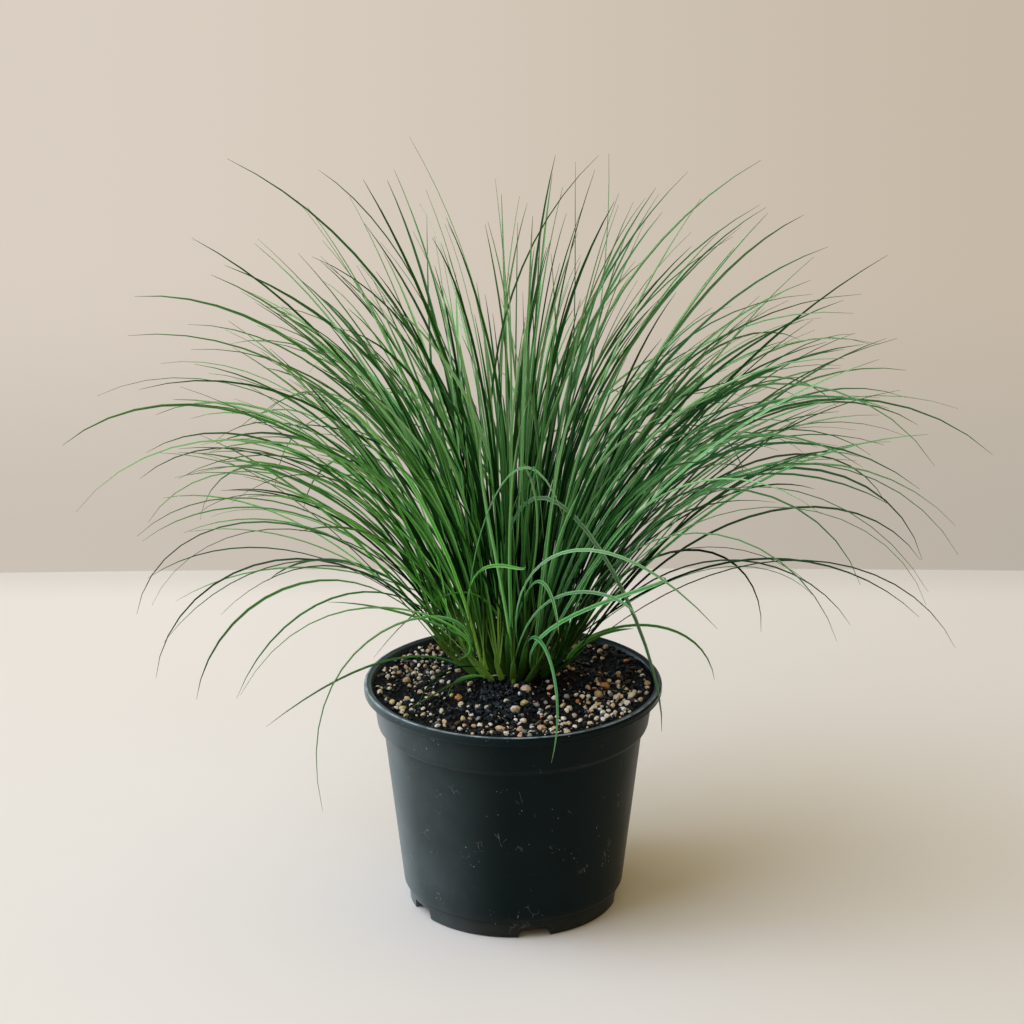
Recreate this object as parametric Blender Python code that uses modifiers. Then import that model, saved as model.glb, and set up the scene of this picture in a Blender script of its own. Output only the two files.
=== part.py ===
"""A fine-leaved ornamental grass in a round black nursery pot.

Metres, +Z up. The origin is the centre of the pot's foot on the ground, and the pot's front faces -Y.
The grass is a tussock of shoots. Each shoot is a short sheath, with the long arching leaves that it
carries fused to it, and it stands on the mound of potting mix in the pot.
"""

import math
import random

import bmesh
import bpy
import numpy as np
from mathutils import Matrix, Vector, noise

MM = 0.001
GAP = 0.3 * MM

# Pot: a 14 cm round nursery pot.
RIM_RADIUS = 70.0 * MM
RIM_INNER_RADIUS = 66.3 * MM
POT_HEIGHT = 109.6 * MM
LIP_DEPTH = 4.0 * MM
COLLAR_TOP_RADIUS = 65.9 * MM
COLLAR_BOTTOM_RADIUS = 63.9 * MM
COLLAR_BOTTOM = 88.7 * MM
BODY_TOP_RADIUS = 60.9 * MM
LEDGE_RADIUS = 52.2 * MM
LEDGE_HEIGHT = 9.4 * MM
FOOT_RADIUS = 49.6 * MM
WALL = 1.4 * MM
FOOT_WALL = 2.8 * MM
FLOOR_BOTTOM = 7.2 * MM
FLOOR_TOP = 8.8 * MM
POT_SIDES = 36
NOTCH_COUNT = 5
NOTCH_FIRST = math.radians(-90 + 11.4)
NOTCH_WIDTH = 16.0 * MM
NOTCH_HEIGHT = 4.8 * MM
NOTCH_DEPTH = 14.0 * MM
DRAIN_RING = 36.0 * MM
DRAIN_RADIUS = 4.5 * MM

# Potting mix: a lumpy surface a little below the rim, with a mound that carries the crown.
MIX_LEVEL = 106.0 * MM
MIX_EDGE_RADIUS = 63.6 * MM
CROWN_X, CROWN_Y = 0.0, 5.0 * MM
CROWN_HALF_WIDTH, CROWN_HALF_DEPTH = 20.0 * MM, 16.0 * MM
CROWN_TOP = 112.0 * MM
CROWN_MARGIN = 3.5 * MM
MOUND_SPREAD = 1.0
HEAP_X, HEAP_Y, HEAP_RADIUS, HEAP_RISE = -5.0 * MM, -26.0 * MM, 24.0 * MM, 2.6 * MM
HOLLOW_X, HOLLOW_Y, HOLLOW_RADIUS, HOLLOW_DEPTH = 34.0 * MM, 22.0 * MM, 20.0 * MM, 2.4 * MM
LUMP_HEIGHT, LUMP_SIZE = 1.1 * MM, 13.0 * MM

# Grass: the shoots stand in the crown on a sunflower spiral and lean out from its middle.
SHOOT_COUNT = 48
GOLDEN_TURN = math.radians(137.508)
SHEATH_FOOT_RADIUS, SHEATH_TOP_RADIUS = 1.7 * MM, 1.05 * MM
SHEATH_SIDES = 5
SHEATH_LEAN = math.radians(46)
LEAVES_PER_SHOOT = 3
USUAL_LENGTH = (165 * MM, 232 * MM)
MOST_LEAN = math.radians(76)
FRONT_UPRIGHT = 0.6
LEAF_HALF_WIDTH, LEAF_TIP_HALF_WIDTH = 0.9 * MM, 0.3 * MM
LEAF_CLEARANCE = 0.35 * MM
TRIES = 48

# Leaves that arch over in front: the shoot, the share up its sheath where the leaf leaves it, then x, y and z
# in mm of the two guide points of its curve and of its tip.
ARCHING_LEAVES = (
    (28, 0.5, (-11, -20, 304), (71, -30, 147), (68, -40, 100)),
    (23, 0.5, (-10, -33, 180), (32, -53, 224), (90, -75, 164)),
    (23, 0.9, (11, -38, 161), (27, -62, 133), (17, -82, 103)),
    (36, 0.6, (8, -30, 184), (55, -45, 168), (55, -60, 163)),
    (15, 0.6, (11, -20, 194), (20, -30, 160), (21, -40, 148)),
    (20, 0.5, (-36, -25, 135), (-2, -43, 285), (23, -62, 210)),
    (33, 0.6, (-31, -24, 199), (8, -41, 173), (5, -58, 188)),
    (15, 0.5, (0, -14, 152), (-22, -20, 186), (-60, -26, 129)),
    (46, 0.2, (-30, -1, 120), (-55, 2, 135), (-117, 4, 84)),
    (33, 0.8, (-9, -34, 173), (-105, -59, 167), (-85, -85, 81)),
    (47, 0.4, (31, -4, 143), (88, -7, 151), (94, -10, 113)),
    (44, 0.6, (-8, -29, 159), (93, -42, 176), (64, -55, 179)),
)
ARCHING_BEND = math.radians(150)

# Long leaves that stand out of the clump: tip x, y and z in mm, then the bend from root to tip in degrees.
LEFT_LEAVES = (
    (-129, 30, 352, 60), (-142, -10, 325, 42), (-93, 110, 329, 70), (-175, 40, 285, 85),
    (-171, -20, 283, 80), (-153, 60, 266, 80), (-131, -40, 316, 50), (-84, -80, 334, 58),
    (-101, 60, 289, 50), (-169, 80, 241, 82), (-193, 30, 240, 100), (-163, -50, 267, 85),
    (-175, -10, 244, 88), (-209, 20, 219, 108), (-195, -40, 207, 122), (-176, 60, 167, 120),
    (-178, 20, 135, 135), (-160, -60, 135, 140), (-140, -80, 133, 135), (-119, -110, 146, 115),
    (-119, 60, 137, 90),
)
RIGHT_LEAVES = (
    (112, 20, 353, 62), (142, 120, 304, 60), (148, 60, 303, 60), (168, 0, 314, 32),
    (149, -40, 298, 85), (170, 30, 264, 98), (140, -90, 292, 66), (206, 20, 236, 86),
    (213, -40, 233, 112), (186, -50, 231, 138), (189, 70, 207, 84), (177, -70, 227, 106),
    (194, 30, 158, 138), (188, -30, 158, 134), (207, 0, 125, 106), (154, -60, 179, 148),
    (141, -90, 164, 138), (146, 60, 129, 84), (123, 80, 102, 136),
)
TOP_LEAVES = (
    (-46, 20, 364, 34), (-64, -40, 358, 20), (-55, 70, 338, 36), (20, 50, 349, 50),
    (38, -20, 364, 58), (44, 30, 354, -20), (57, -50, 352, 40), (66, 40, 336, 36),
    (-5, 80, 324, 30), (-28, -60, 346, 34), (-33, -100, 347, 48), (9, -120, 348, 46),
)
FRONT_LEAVES = (
    (-44, -42, 110, 96), (12, -198, 250, 96),
)
BACK_LEAVES = (
    (-30, 198, 226, 92), (60, 180, 190, 104), (-96, 158, 262, 66), (110, 150, 250, 70),
    (20, 150, 318, 44),
)


def shade(name, colour, roughness, metallic=0.0):
    """A plain Principled finish."""
    material = bpy.data.materials.new(name)
    material.use_nodes = True
    surface = material.node_tree.nodes["Principled BSDF"]
    surface.inputs["Base Color"].default_value = (*colour, 1.0)
    surface.inputs["Roughness"].default_value = roughness
    surface.inputs["Metallic"].default_value = metallic
    material.diffuse_color = (*colour, 1.0)
    return material


def new_collection(name, hidden=False):
    collection = bpy.data.collections.new(name)
    collection.hide_render = hidden
    bpy.context.scene.collection.children.link(collection)
    return collection


def add_object(name, mesh, collection, material=None):
    item = bpy.data.objects.new(name, mesh)
    collection.objects.link(item)
    if material:
        mesh.materials.append(material)
    return item


def turned(name, profile, sides, collection, material):
    """A solid turned round Z from (radius, height) points that run down its outer side."""
    mesh = bpy.data.meshes.new(name)
    corners = [(radius, 0.0, height) for radius, height in profile]
    mesh.from_pydata(corners, [(i, i + 1) for i in range(len(corners) - 1)], [])
    item = add_object(name, mesh, collection, material)
    screw = item.modifiers.new("Turn", "SCREW")
    screw.steps = screw.render_steps = sides
    screw.use_merge_vertices = True
    screw.merge_threshold = 0.00001
    return item


def made_mesh(item):
    """The object's evaluated shape as a mesh of its own, with its doubles merged."""
    evaluated = item.evaluated_get(bpy.context.evaluated_depsgraph_get())
    mesh = bpy.data.meshes.new_from_object(evaluated)
    shape = bmesh.new()
    shape.from_mesh(mesh)
    bmesh.ops.remove_doubles(shape, verts=shape.verts, dist=0.000001)
    shape.to_mesh(mesh)
    shape.free()
    return mesh


def fused(target, others):
    """Joins the other solids into the target, one Boolean union at a time, and removes them."""
    for other in others:
        union = target.modifiers.new("Union", "BOOLEAN")
        union.operation = "UNION"
        union.object = other
        mesh = made_mesh(target)
        target.modifiers.clear()
        target.data = mesh
        bpy.data.objects.remove(other)


# ---------------------------------------------------------------- pot


def pot_profile():
    """Radius and height, from the middle of the floor up the inside, over the rim and down to the foot."""
    collar_inner_top = COLLAR_TOP_RADIUS - WALL
    collar_inner_bottom = COLLAR_BOTTOM_RADIUS - WALL - 0.6 * MM
    return (
        (0.0, FLOOR_TOP),
        (LEDGE_RADIUS - WALL - 1.5 * MM, FLOOR_TOP),
        (LEDGE_RADIUS - WALL, LEDGE_HEIGHT + 0.8 * MM),
        (BODY_TOP_RADIUS - WALL, COLLAR_BOTTOM - 2.2 * MM),
        (collar_inner_bottom, COLLAR_BOTTOM + 1.2 * MM),
        (collar_inner_top, POT_HEIGHT - LIP_DEPTH),
        (RIM_INNER_RADIUS, POT_HEIGHT - 1.0 * MM),
        (RIM_INNER_RADIUS + 0.8 * MM, POT_HEIGHT),
        (RIM_RADIUS - 1.6 * MM, POT_HEIGHT),
        (RIM_RADIUS - 0.4 * MM, POT_HEIGHT - 0.7 * MM),
        (RIM_RADIUS, POT_HEIGHT - 2.0 * MM),
        (RIM_RADIUS - 0.4 * MM, POT_HEIGHT - LIP_DEPTH),
        (COLLAR_TOP_RADIUS, POT_HEIGHT - LIP_DEPTH - 0.6 * MM),
        (COLLAR_BOTTOM_RADIUS, COLLAR_BOTTOM + 1.0 * MM),
        (COLLAR_BOTTOM_RADIUS - 0.9 * MM, COLLAR_BOTTOM),
        (BODY_TOP_RADIUS, COLLAR_BOTTOM - 0.8 * MM),
        (LEDGE_RADIUS, LEDGE_HEIGHT),
        (FOOT_RADIUS + 0.5 * MM, LEDGE_HEIGHT - 0.6 * MM),
        (FOOT_RADIUS, 0.0),
        (FOOT_RADIUS - FOOT_WALL, 0.0),
        (FOOT_RADIUS - FOOT_WALL, FLOOR_BOTTOM),
        (0.0, FLOOR_BOTTOM),
    )


def notch_cutter(turn, collection):
    """A block across the foot ring, a little narrower at the top, that leaves one drainage notch."""
    shape = bmesh.new()
    bmesh.ops.create_cube(shape, size=1.0)
    for corner in shape.verts:
        width = NOTCH_WIDTH * (0.84 if corner.co.z > 0 else 1.08)
        corner.co *= Vector((NOTCH_DEPTH, width, 2 * NOTCH_HEIGHT))
    place = Matrix.Rotation(turn, 4, "Z") @ Matrix.Translation((FOOT_RADIUS, 0, 0))
    bmesh.ops.transform(shape, verts=shape.verts, matrix=place)
    mesh = bpy.data.meshes.new("notch_cutter")
    shape.to_mesh(mesh)
    shape.free()
    return add_object("notch_cutter", mesh, collection)


def drain_cutter(turn, collection):
    """A short rod that drills one drainage hole in the floor, behind a notch."""
    shape = bmesh.new()
    bmesh.ops.create_cone(
        shape, cap_ends=True, segments=8, radius1=DRAIN_RADIUS, radius2=DRAIN_RADIUS, depth=6 * MM
    )
    place = Matrix.Rotation(turn, 4, "Z") @ Matrix.Translation((DRAIN_RING, 0, FLOOR_TOP))
    bmesh.ops.transform(shape, verts=shape.verts, matrix=place)
    mesh = bpy.data.meshes.new("drain_cutter")
    shape.to_mesh(mesh)
    shape.free()
    return add_object("drain_cutter", mesh, collection)


def build_pot(parts, cutters):
    plastic = shade("black_plastic", (0.018, 0.022, 0.026), 0.42)
    pot = turned("pot", pot_profile(), POT_SIDES, parts, plastic)
    for k in range(NOTCH_COUNT):
        turn = NOTCH_FIRST + k * math.tau / NOTCH_COUNT
        for cutter in (notch_cutter(turn, cutters), drain_cutter(turn, cutters)):
            cutter.hide_render = True
            cutter.display_type = "WIRE"
            cut = pot.modifiers.new("Cut", "BOOLEAN")
            cut.operation = "DIFFERENCE"
            cut.object = cutter
    return pot


# ---------------------------------------------------------------- potting mix


def eased(share):
    share = min(max(share, 0.0), 1.0)
    return share * share * (3 - 2 * share)


def dome(x, y, centre_x, centre_y, radius):
    return 1 - eased(math.hypot(x - centre_x, y - centre_y) / radius)


def mix_height(x, y):
    """Height of the mix's surface: flat under the crown, then a mound that runs out into low lumps."""
    across = (x - CROWN_X) / (CROWN_HALF_WIDTH + CROWN_MARGIN)
    along = (y - CROWN_Y) / (CROWN_HALF_DEPTH + CROWN_MARGIN)
    off_crown = eased((math.hypot(across, along) - 1) / MOUND_SPREAD)
    lump = noise.noise(Vector((x, y, 0.0)) / LUMP_SIZE) * LUMP_HEIGHT
    level = MIX_LEVEL + lump
    level += HEAP_RISE * dome(x, y, HEAP_X, HEAP_Y, HEAP_RADIUS)
    level -= HOLLOW_DEPTH * dome(x, y, HOLLOW_X, HOLLOW_Y, HOLLOW_RADIUS)
    return CROWN_TOP + (level - CROWN_TOP) * off_crown


def build_mix(parts):
    """The mix fills the pot with a gap of 0.3 mm to its wall and floor."""
    earth = shade("potting_mix", (0.035, 0.028, 0.022), 0.95)
    crown_edge = CROWN_HALF_WIDTH + CROWN_MARGIN
    rings = [crown_edge * share for share in (0.55, 0.8, 1.0, 1.3, 1.65, 2.0, 2.4)]
    profile = [(0.0, CROWN_TOP)]
    profile += [(radius, CROWN_TOP) for radius in rings]
    profile += [
        (MIX_EDGE_RADIUS, CROWN_TOP),
        (MIX_EDGE_RADIUS - 0.3 * MM, MIX_LEVEL - 3.0 * MM),
        (COLLAR_BOTTOM_RADIUS - WALL - 1.2 * MM, COLLAR_BOTTOM + 1.0 * MM),
        (BODY_TOP_RADIUS - WALL - 0.9 * MM, COLLAR_BOTTOM - 3.2 * MM),
        (LEDGE_RADIUS - WALL - 0.6 * MM, LEDGE_HEIGHT + 1.2 * MM),
        (LEDGE_RADIUS - WALL - 2.4 * MM, FLOOR_TOP + GAP),
        (0.0, FLOOR_TOP + GAP),
    ]
    mix = turned("potting_mix", profile, POT_SIDES, parts, None)
    mesh = made_mesh(mix)
    mix.modifiers.clear()
    mix.data = mesh
    mesh.materials.append(earth)
    for corner in mesh.vertices:
        if corner.co.z > CROWN_TOP - 0.01 * MM:
            corner.co.z = mix_height(corner.co.x, corner.co.y)
    return mix


# ---------------------------------------------------------------- grass


def arch(root, tip, bend, sway, count):
    """Points of a leaf from root to tip. It leans more and more on the way, by the bend in all."""
    aim = np.asarray(tip) - np.asarray(root)
    reach = math.hypot(aim[0], aim[1])
    ahead = np.array((aim[0], aim[1], 0.0)) / reach
    aside = np.array((-ahead[1], ahead[0], 0.0))
    share = np.linspace(0, 1, count)
    fine = np.linspace(0, 1, 12 * (count - 1) + 1)
    lean = bend * ((fine[1:] + fine[:-1]) / 2) ** 1.6
    out = np.concatenate(((0.0,), np.cumsum(np.sin(lean))))[::12]
    up = np.concatenate(((0.0,), np.cumsum(np.cos(lean))))[::12]
    turn = math.atan2(reach, aim[2]) - math.atan2(out[-1], up[-1])
    size = math.hypot(reach, aim[2]) / math.hypot(out[-1], up[-1])
    far = size * (out * math.cos(turn) + up * math.sin(turn))
    high = size * (up * math.cos(turn) - out * math.sin(turn))
    side = sway * np.sin(math.pi * share)
    points = np.outer(far, ahead) + np.outer(side, aside) + np.asarray(root)
    points[:, 2] += high
    return points


def swept(root, guides, tip, count):
    """Points of a leaf that leaves its root towards the first guide and reaches its tip from the second."""
    share = np.linspace(0, 1, count)[:, None]
    left = 1 - share
    return root * left**3 + 3 * guides[0] * share * left**2 + 3 * guides[1] * share**2 * left + tip * share**3


def leaf_path(leaf, count):
    if "guides" in leaf:
        return swept(leaf["root"], leaf["guides"], leaf["tip"], count)
    return arch(leaf["root"], leaf["tip"], leaf["bend"], leaf["sway"], count)


def leaf_steps(bend):
    """A leaf that bends more has more straight pieces."""
    return 3 + round(abs(bend) / math.radians(36))


def half_widths(count):
    """A leaf is widest in its lower third and tapers to a point."""
    share = np.linspace(0, 1, count)
    return LEAF_TIP_HALF_WIDTH + (LEAF_HALF_WIDTH - LEAF_TIP_HALF_WIDTH) * (1 - share**1.7)


def usual_bend(lean):
    """Leaves that lean further arch over more, in radians."""
    return math.radians(20 + 78 * (math.degrees(lean) / 60) ** 1.2)


def lean_and_turn(aim):
    return math.atan2(math.hypot(aim[0], aim[1]), aim[2]), math.atan2(aim[1], aim[0])


def shoot_rule(index):
    """Share of the way out of the crown, turn, foot, sheath direction and sheath length of one shoot."""
    share = math.sqrt((index + 0.5) / SHOOT_COUNT)
    turn = index * GOLDEN_TURN
    chance = random.Random(index)
    foot = np.array((
        CROWN_X + CROWN_HALF_WIDTH * share * math.cos(turn),
        CROWN_Y + CROWN_HALF_DEPTH * share * math.sin(turn),
        CROWN_TOP + GAP,
    ))
    lean = SHEATH_LEAN * share**1.2
    axis = np.array((math.sin(lean) * math.cos(turn), math.sin(lean) * math.sin(turn), math.cos(lean)))
    return {"share": share, "turn": turn, "foot": foot, "axis": axis, "length": chance.uniform(13, 24) * MM}


def sampled(body, spacing=1.2 * MM):
    """Points along a body, close together, with the body's radius at each."""
    points, radii = body
    places, sizes = [], []
    for k in range(len(points) - 1):
        count = max(2, math.ceil(np.linalg.norm(points[k + 1] - points[k]) / spacing))
        share = np.linspace(0, 1, count, endpoint=False)[:, None]
        places.append(points[k] + (points[k + 1] - points[k]) * share)
        sizes.append(radii[k] + (radii[k + 1] - radii[k]) * share[:, 0])
    return np.concatenate(places + [points[-1:]]), np.concatenate(sizes + [radii[-1:]])


def sheath_body(shoot):
    """A body is a path's points and its radius at each."""
    ends = np.array((shoot["foot"], shoot["foot"] + shoot["axis"] * shoot["length"]))
    return ends, np.array((SHEATH_FOOT_RADIUS, SHEATH_TOP_RADIUS))


def clear_of(body, others):
    """True where no sample point of the body comes too close to a straight piece of the others."""
    places, sizes = sampled(body)
    start = np.concatenate([points[:-1] for points, _ in others])
    run = np.concatenate([np.diff(points, axis=0) for points, _ in others])
    radius = np.concatenate([radii[:-1] for _, radii in others])
    growth = np.concatenate([np.diff(radii) for _, radii in others])
    along = ((places[:, None] - start) * run).sum(axis=2) / (run * run).sum(axis=1)
    along = np.clip(along, 0, 1)
    apart = np.linalg.norm(places[:, None] - start - along[..., None] * run, axis=2)
    return bool((apart > sizes[:, None] + radius + growth * along + LEAF_CLEARANCE).all())


def clear_of_pot(body):
    """A leaf goes over the rim or hangs outside it, and stays above the mix."""
    points, radii = sampled(body)
    from_axis = np.hypot(points[:, 0], points[:, 1])
    above = points[:, 2] > POT_HEIGHT + 2 * LEAF_HALF_WIDTH
    outside = from_axis > RIM_RADIUS + 2 * LEAF_HALF_WIDTH
    ground = np.array([mix_height(x, y) for x, y in points[:, :2]])
    inside = (from_axis < RIM_INNER_RADIUS - 3 * MM) & (points[:, 2] > ground + radii + 0.6 * MM)
    return bool((above | outside | inside)[3:].all())


def wished_leaves():
    """The long leaves in the order that they are placed, as (tip, bend)."""
    rows = LEFT_LEAVES + RIGHT_LEAVES + TOP_LEAVES + FRONT_LEAVES + BACK_LEAVES
    return [(np.array(row[:3]) * MM, math.radians(row[3])) for row in rows]


def shoots_by_direction(tip, shoots):
    """The shoots, nearest in direction to a tip first. A shoot with many leaves comes late."""
    lean, turn = lean_and_turn(tip - np.array((CROWN_X, CROWN_Y, CROWN_TOP)))

    def apart(index):
        shoot = shoots[index]
        own = math.radians(84) * shoot["share"]
        ahead = lean * math.cos(turn) - own * math.cos(shoot["turn"])
        aside = lean * math.sin(turn) - own * math.sin(shoot["turn"])
        return math.hypot(ahead, aside) + 0.25 * max(0, len(shoot["leaves"]) - 1)

    return sorted(range(len(shoots)), key=apart)


def leaf_on(shoot, tip, bend, chance, loose):
    """One leaf from the sheath to about the tip. A larger number for loose lets it stray further."""
    start = shoot["foot"] + shoot["axis"] * shoot["length"] * chance.uniform(0.3, 0.75)
    stray = np.array([chance.gauss(0, 1) for _ in range(3)]) * loose * MM
    bend = bend + math.radians(chance.gauss(0, 1.5) * loose)
    sway = chance.gauss(0, 2.5 + loose) * MM
    return {"root": start, "tip": tip + stray, "bend": bend, "sway": sway}


def arching_leaf(shoot, row, chance, loose):
    """A leaf on its own guide points. A larger number for loose lets it stray further."""
    start = shoot["foot"] + shoot["axis"] * shoot["length"] * row[1]
    first, second, tip = (
        (np.array(place) + [chance.gauss(0, 1) * loose for _ in range(3)]) * MM for place in row[2:]
    )
    return {"root": start, "guides": (first, second), "tip": tip, "bend": ARCHING_BEND}


def usual_leaf(shoot, chance):
    """A leaf of the usual length, at about its shoot's own lean. It stands steeper at the front."""
    front = max(0.0, -math.sin(shoot["turn"]))
    lean = math.radians(6 + 64 * shoot["share"] ** 1.1 + chance.gauss(0, 9)) * (1 - FRONT_UPRIGHT * front)
    lean = min(abs(lean), MOST_LEAN)
    turn = shoot["turn"] + math.radians(chance.gauss(0, 13))
    length = chance.uniform(*USUAL_LENGTH) * (1 - 0.14 * lean)
    level = math.sin(lean) * length
    aim = np.array((level * math.cos(turn), level * math.sin(turn), math.cos(lean) * length))
    return shoot["foot"] + aim, usual_bend(lean) * chance.uniform(0.75, 1.25)


def leaf_body(leaf):
    count = leaf_steps(leaf["bend"]) + 1
    return leaf_path(leaf, count), half_widths(count)


def grass_plan():
    """Every shoot with the leaves that have a solid. No leaf touches another shoot, the pot or the mix."""
    shoots = [shoot_rule(index) for index in range(SHOOT_COUNT)]
    for shoot in shoots:
        shoot["leaves"] = []
        shoot["bodies"] = [sheath_body(shoot)]

    def fits(index, body):
        others = [b for k, shoot in enumerate(shoots) if k != index for b in shoot["bodies"]]
        return clear_of_pot(body) and clear_of(body, others)

    def keep(index, leaf, body):
        shoots[index]["leaves"].append(leaf)
        shoots[index]["bodies"].append(body)

    for number, row in enumerate(ARCHING_LEAVES):
        chance = random.Random(3000 + number)
        for attempt in range(TRIES):
            leaf = arching_leaf(shoots[row[0]], row, chance, attempt * 0.12)
            body = leaf_body(leaf)
            if fits(row[0], body):
                keep(row[0], leaf, body)
                break
    for number, (tip, bend) in enumerate(wished_leaves()):
        chance = random.Random(1000 + number)
        nearest = shoots_by_direction(tip, shoots)
        for attempt in range(TRIES):
            index = nearest[attempt % 8]
            leaf = leaf_on(shoots[index], tip, bend, chance, attempt * 0.08)
            body = leaf_body(leaf)
            if fits(index, body):
                keep(index, leaf, body)
                break
    for index, shoot in enumerate(shoots):
        chance = random.Random(5000 + index)
        for _ in range(TRIES):
            if len(shoot["leaves"]) >= LEAVES_PER_SHOOT:
                break
            leaf = leaf_on(shoot, *usual_leaf(shoot, chance), chance, 0.0)
            body = leaf_body(leaf)
            if fits(index, body):
                keep(index, leaf, body)
    return shoots


def section_guide(guides):
    """A three-sided section of unit radius, the keel and two edges of a folded leaf."""
    curve = bpy.data.curves.new("leaf_section", "CURVE")
    curve.dimensions = "2D"
    spline = curve.splines.new("POLY")
    spline.points.add(2)
    for k, point in enumerate(spline.points):
        turn = math.tau * k / 3
        point.co = (math.sin(turn), math.cos(turn), 0.0, 1.0)
    spline.use_cyclic_u = True
    guide = bpy.data.objects.new("leaf_section", curve)
    guides.objects.link(guide)
    guide.hide_render = True
    return guide


def leaf_solid(leaf, section, collection):
    """A leaf as a tapering tube on its path, as a mesh."""
    count = leaf_steps(leaf["bend"]) + 1
    curve = bpy.data.curves.new("leaf", "CURVE")
    curve.dimensions = "3D"
    curve.bevel_mode = "OBJECT"
    curve.bevel_object = section
    curve.use_fill_caps = True
    spline = curve.splines.new("POLY")
    spline.points.add(count - 1)
    for point, place, radius in zip(spline.points, leaf_path(leaf, count), half_widths(count)):
        point.co = (*place, 1.0)
        point.radius = radius
    item = bpy.data.objects.new("leaf", curve)
    collection.objects.link(item)
    bpy.context.view_layer.update()
    solid = add_object("leaf_solid", made_mesh(item), collection)
    bpy.data.objects.remove(item)
    return solid


def sheath_solid(shoot, name, collection, material):
    """A tapering sheath that is cut off level where it stands on the mix."""
    below = 2 * MM
    shape = bmesh.new()
    bmesh.ops.create_cone(
        shape,
        cap_ends=True,
        segments=SHEATH_SIDES,
        radius1=SHEATH_FOOT_RADIUS,
        radius2=SHEATH_TOP_RADIUS,
        depth=shoot["length"] + below,
    )
    axis = Vector(shoot["axis"])
    middle = Vector(shoot["foot"]) + axis * (shoot["length"] - below) / 2
    place = Matrix.Translation(middle) @ axis.to_track_quat("Z", "Y").to_matrix().to_4x4()
    bmesh.ops.transform(shape, verts=shape.verts, matrix=place)
    cut = bmesh.ops.bisect_plane(
        shape,
        geom=shape.verts[:] + shape.edges[:] + shape.faces[:],
        plane_co=(0, 0, CROWN_TOP + GAP),
        plane_no=(0, 0, -1),
        clear_outer=True,
    )
    rim = [item for item in cut["geom_cut"] if isinstance(item, bmesh.types.BMEdge)]
    bmesh.ops.contextual_create(shape, geom=rim)
    bmesh.ops.recalc_face_normals(shape, faces=shape.faces)
    mesh = bpy.data.meshes.new(name)
    shape.to_mesh(mesh)
    shape.free()
    return add_object(name, mesh, collection, material)


def build_grass(parts, guides):
    green = shade("leaf_green", (0.06, 0.17, 0.05), 0.5)
    section = section_guide(guides)
    for index, shoot in enumerate(grass_plan()):
        sheath = sheath_solid(shoot, f"grass_shoot_{index + 1:02d}", parts, green)
        fused(sheath, [leaf_solid(leaf, section, guides) for leaf in shoot["leaves"]])


def main():
    for item in list(bpy.data.objects):
        bpy.data.objects.remove(item)
    parts = new_collection("potted_grass_clump")
    guides = new_collection("cutters_and_guides", hidden=True)
    build_pot(parts, guides)
    build_mix(parts)
    build_grass(parts, guides)


main()
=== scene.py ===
"""The looks of a fine-leaved ornamental grass in a round black nursery pot.

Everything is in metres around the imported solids: +Z up, the pot's foot centred on the origin and the pot's
front facing -Y. The leaves that have a solid follow the same rule as those solids, and finer leaves, grains
and dead sheaths are added around them.
"""

import math
import random
from functools import partial, reduce

import bmesh
import bpy
import numpy as np
from mathutils import Matrix, Vector, noise


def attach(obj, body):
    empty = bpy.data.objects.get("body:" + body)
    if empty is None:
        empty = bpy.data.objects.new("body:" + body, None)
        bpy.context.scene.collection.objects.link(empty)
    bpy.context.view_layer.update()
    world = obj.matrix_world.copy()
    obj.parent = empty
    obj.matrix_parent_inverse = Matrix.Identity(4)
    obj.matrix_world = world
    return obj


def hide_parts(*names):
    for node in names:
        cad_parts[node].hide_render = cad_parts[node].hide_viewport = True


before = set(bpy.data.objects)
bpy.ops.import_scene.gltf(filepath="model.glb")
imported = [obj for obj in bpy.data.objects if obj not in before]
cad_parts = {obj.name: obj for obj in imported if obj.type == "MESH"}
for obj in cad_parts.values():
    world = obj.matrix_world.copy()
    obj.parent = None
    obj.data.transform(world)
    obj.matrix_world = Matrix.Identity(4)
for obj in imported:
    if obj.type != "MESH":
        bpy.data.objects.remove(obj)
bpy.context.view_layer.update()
SCENE = bpy.context.scene

MM = 0.001
GAP = 0.3 * MM

# Camera
LENS_MM, SENSOR_MM = 105.47, 36.0
CAMERA_PLACE = Vector((-0.000301, -1.30656, 0.64317))
CAMERA_AIM = Vector((-0.0003, 0.0, 0.1928))
CAMERA_ROLL = math.radians(-0.12)

# Pot
RIM_RADIUS = 70.0 * MM
RIM_INNER_RADIUS = 66.3 * MM
POT_HEIGHT = 109.6 * MM
LIP_DEPTH = 4.0 * MM
COLLAR_TOP_RADIUS = 65.9 * MM
COLLAR_BOTTOM_RADIUS = 63.9 * MM
COLLAR_BOTTOM = 88.7 * MM
BODY_TOP_RADIUS = 60.9 * MM
LEDGE_RADIUS = 52.2 * MM
LEDGE_HEIGHT = 9.4 * MM
FOOT_RADIUS = 49.6 * MM
WALL = 1.4 * MM
FOOT_WALL = 2.8 * MM
FLOOR_BOTTOM = 7.2 * MM
FLOOR_TOP = 8.8 * MM
POT_STEPS = 144
DRAIN_STEPS = 40
NOTCH_COUNT = 5
NOTCH_FIRST = math.radians(-90 + 11.4)
NOTCH_WIDTH = 16.0 * MM
NOTCH_HEIGHT = 4.8 * MM
NOTCH_DEPTH = 14.0 * MM
DRAIN_RING = 36.0 * MM
DRAIN_RADIUS = 4.5 * MM

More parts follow.
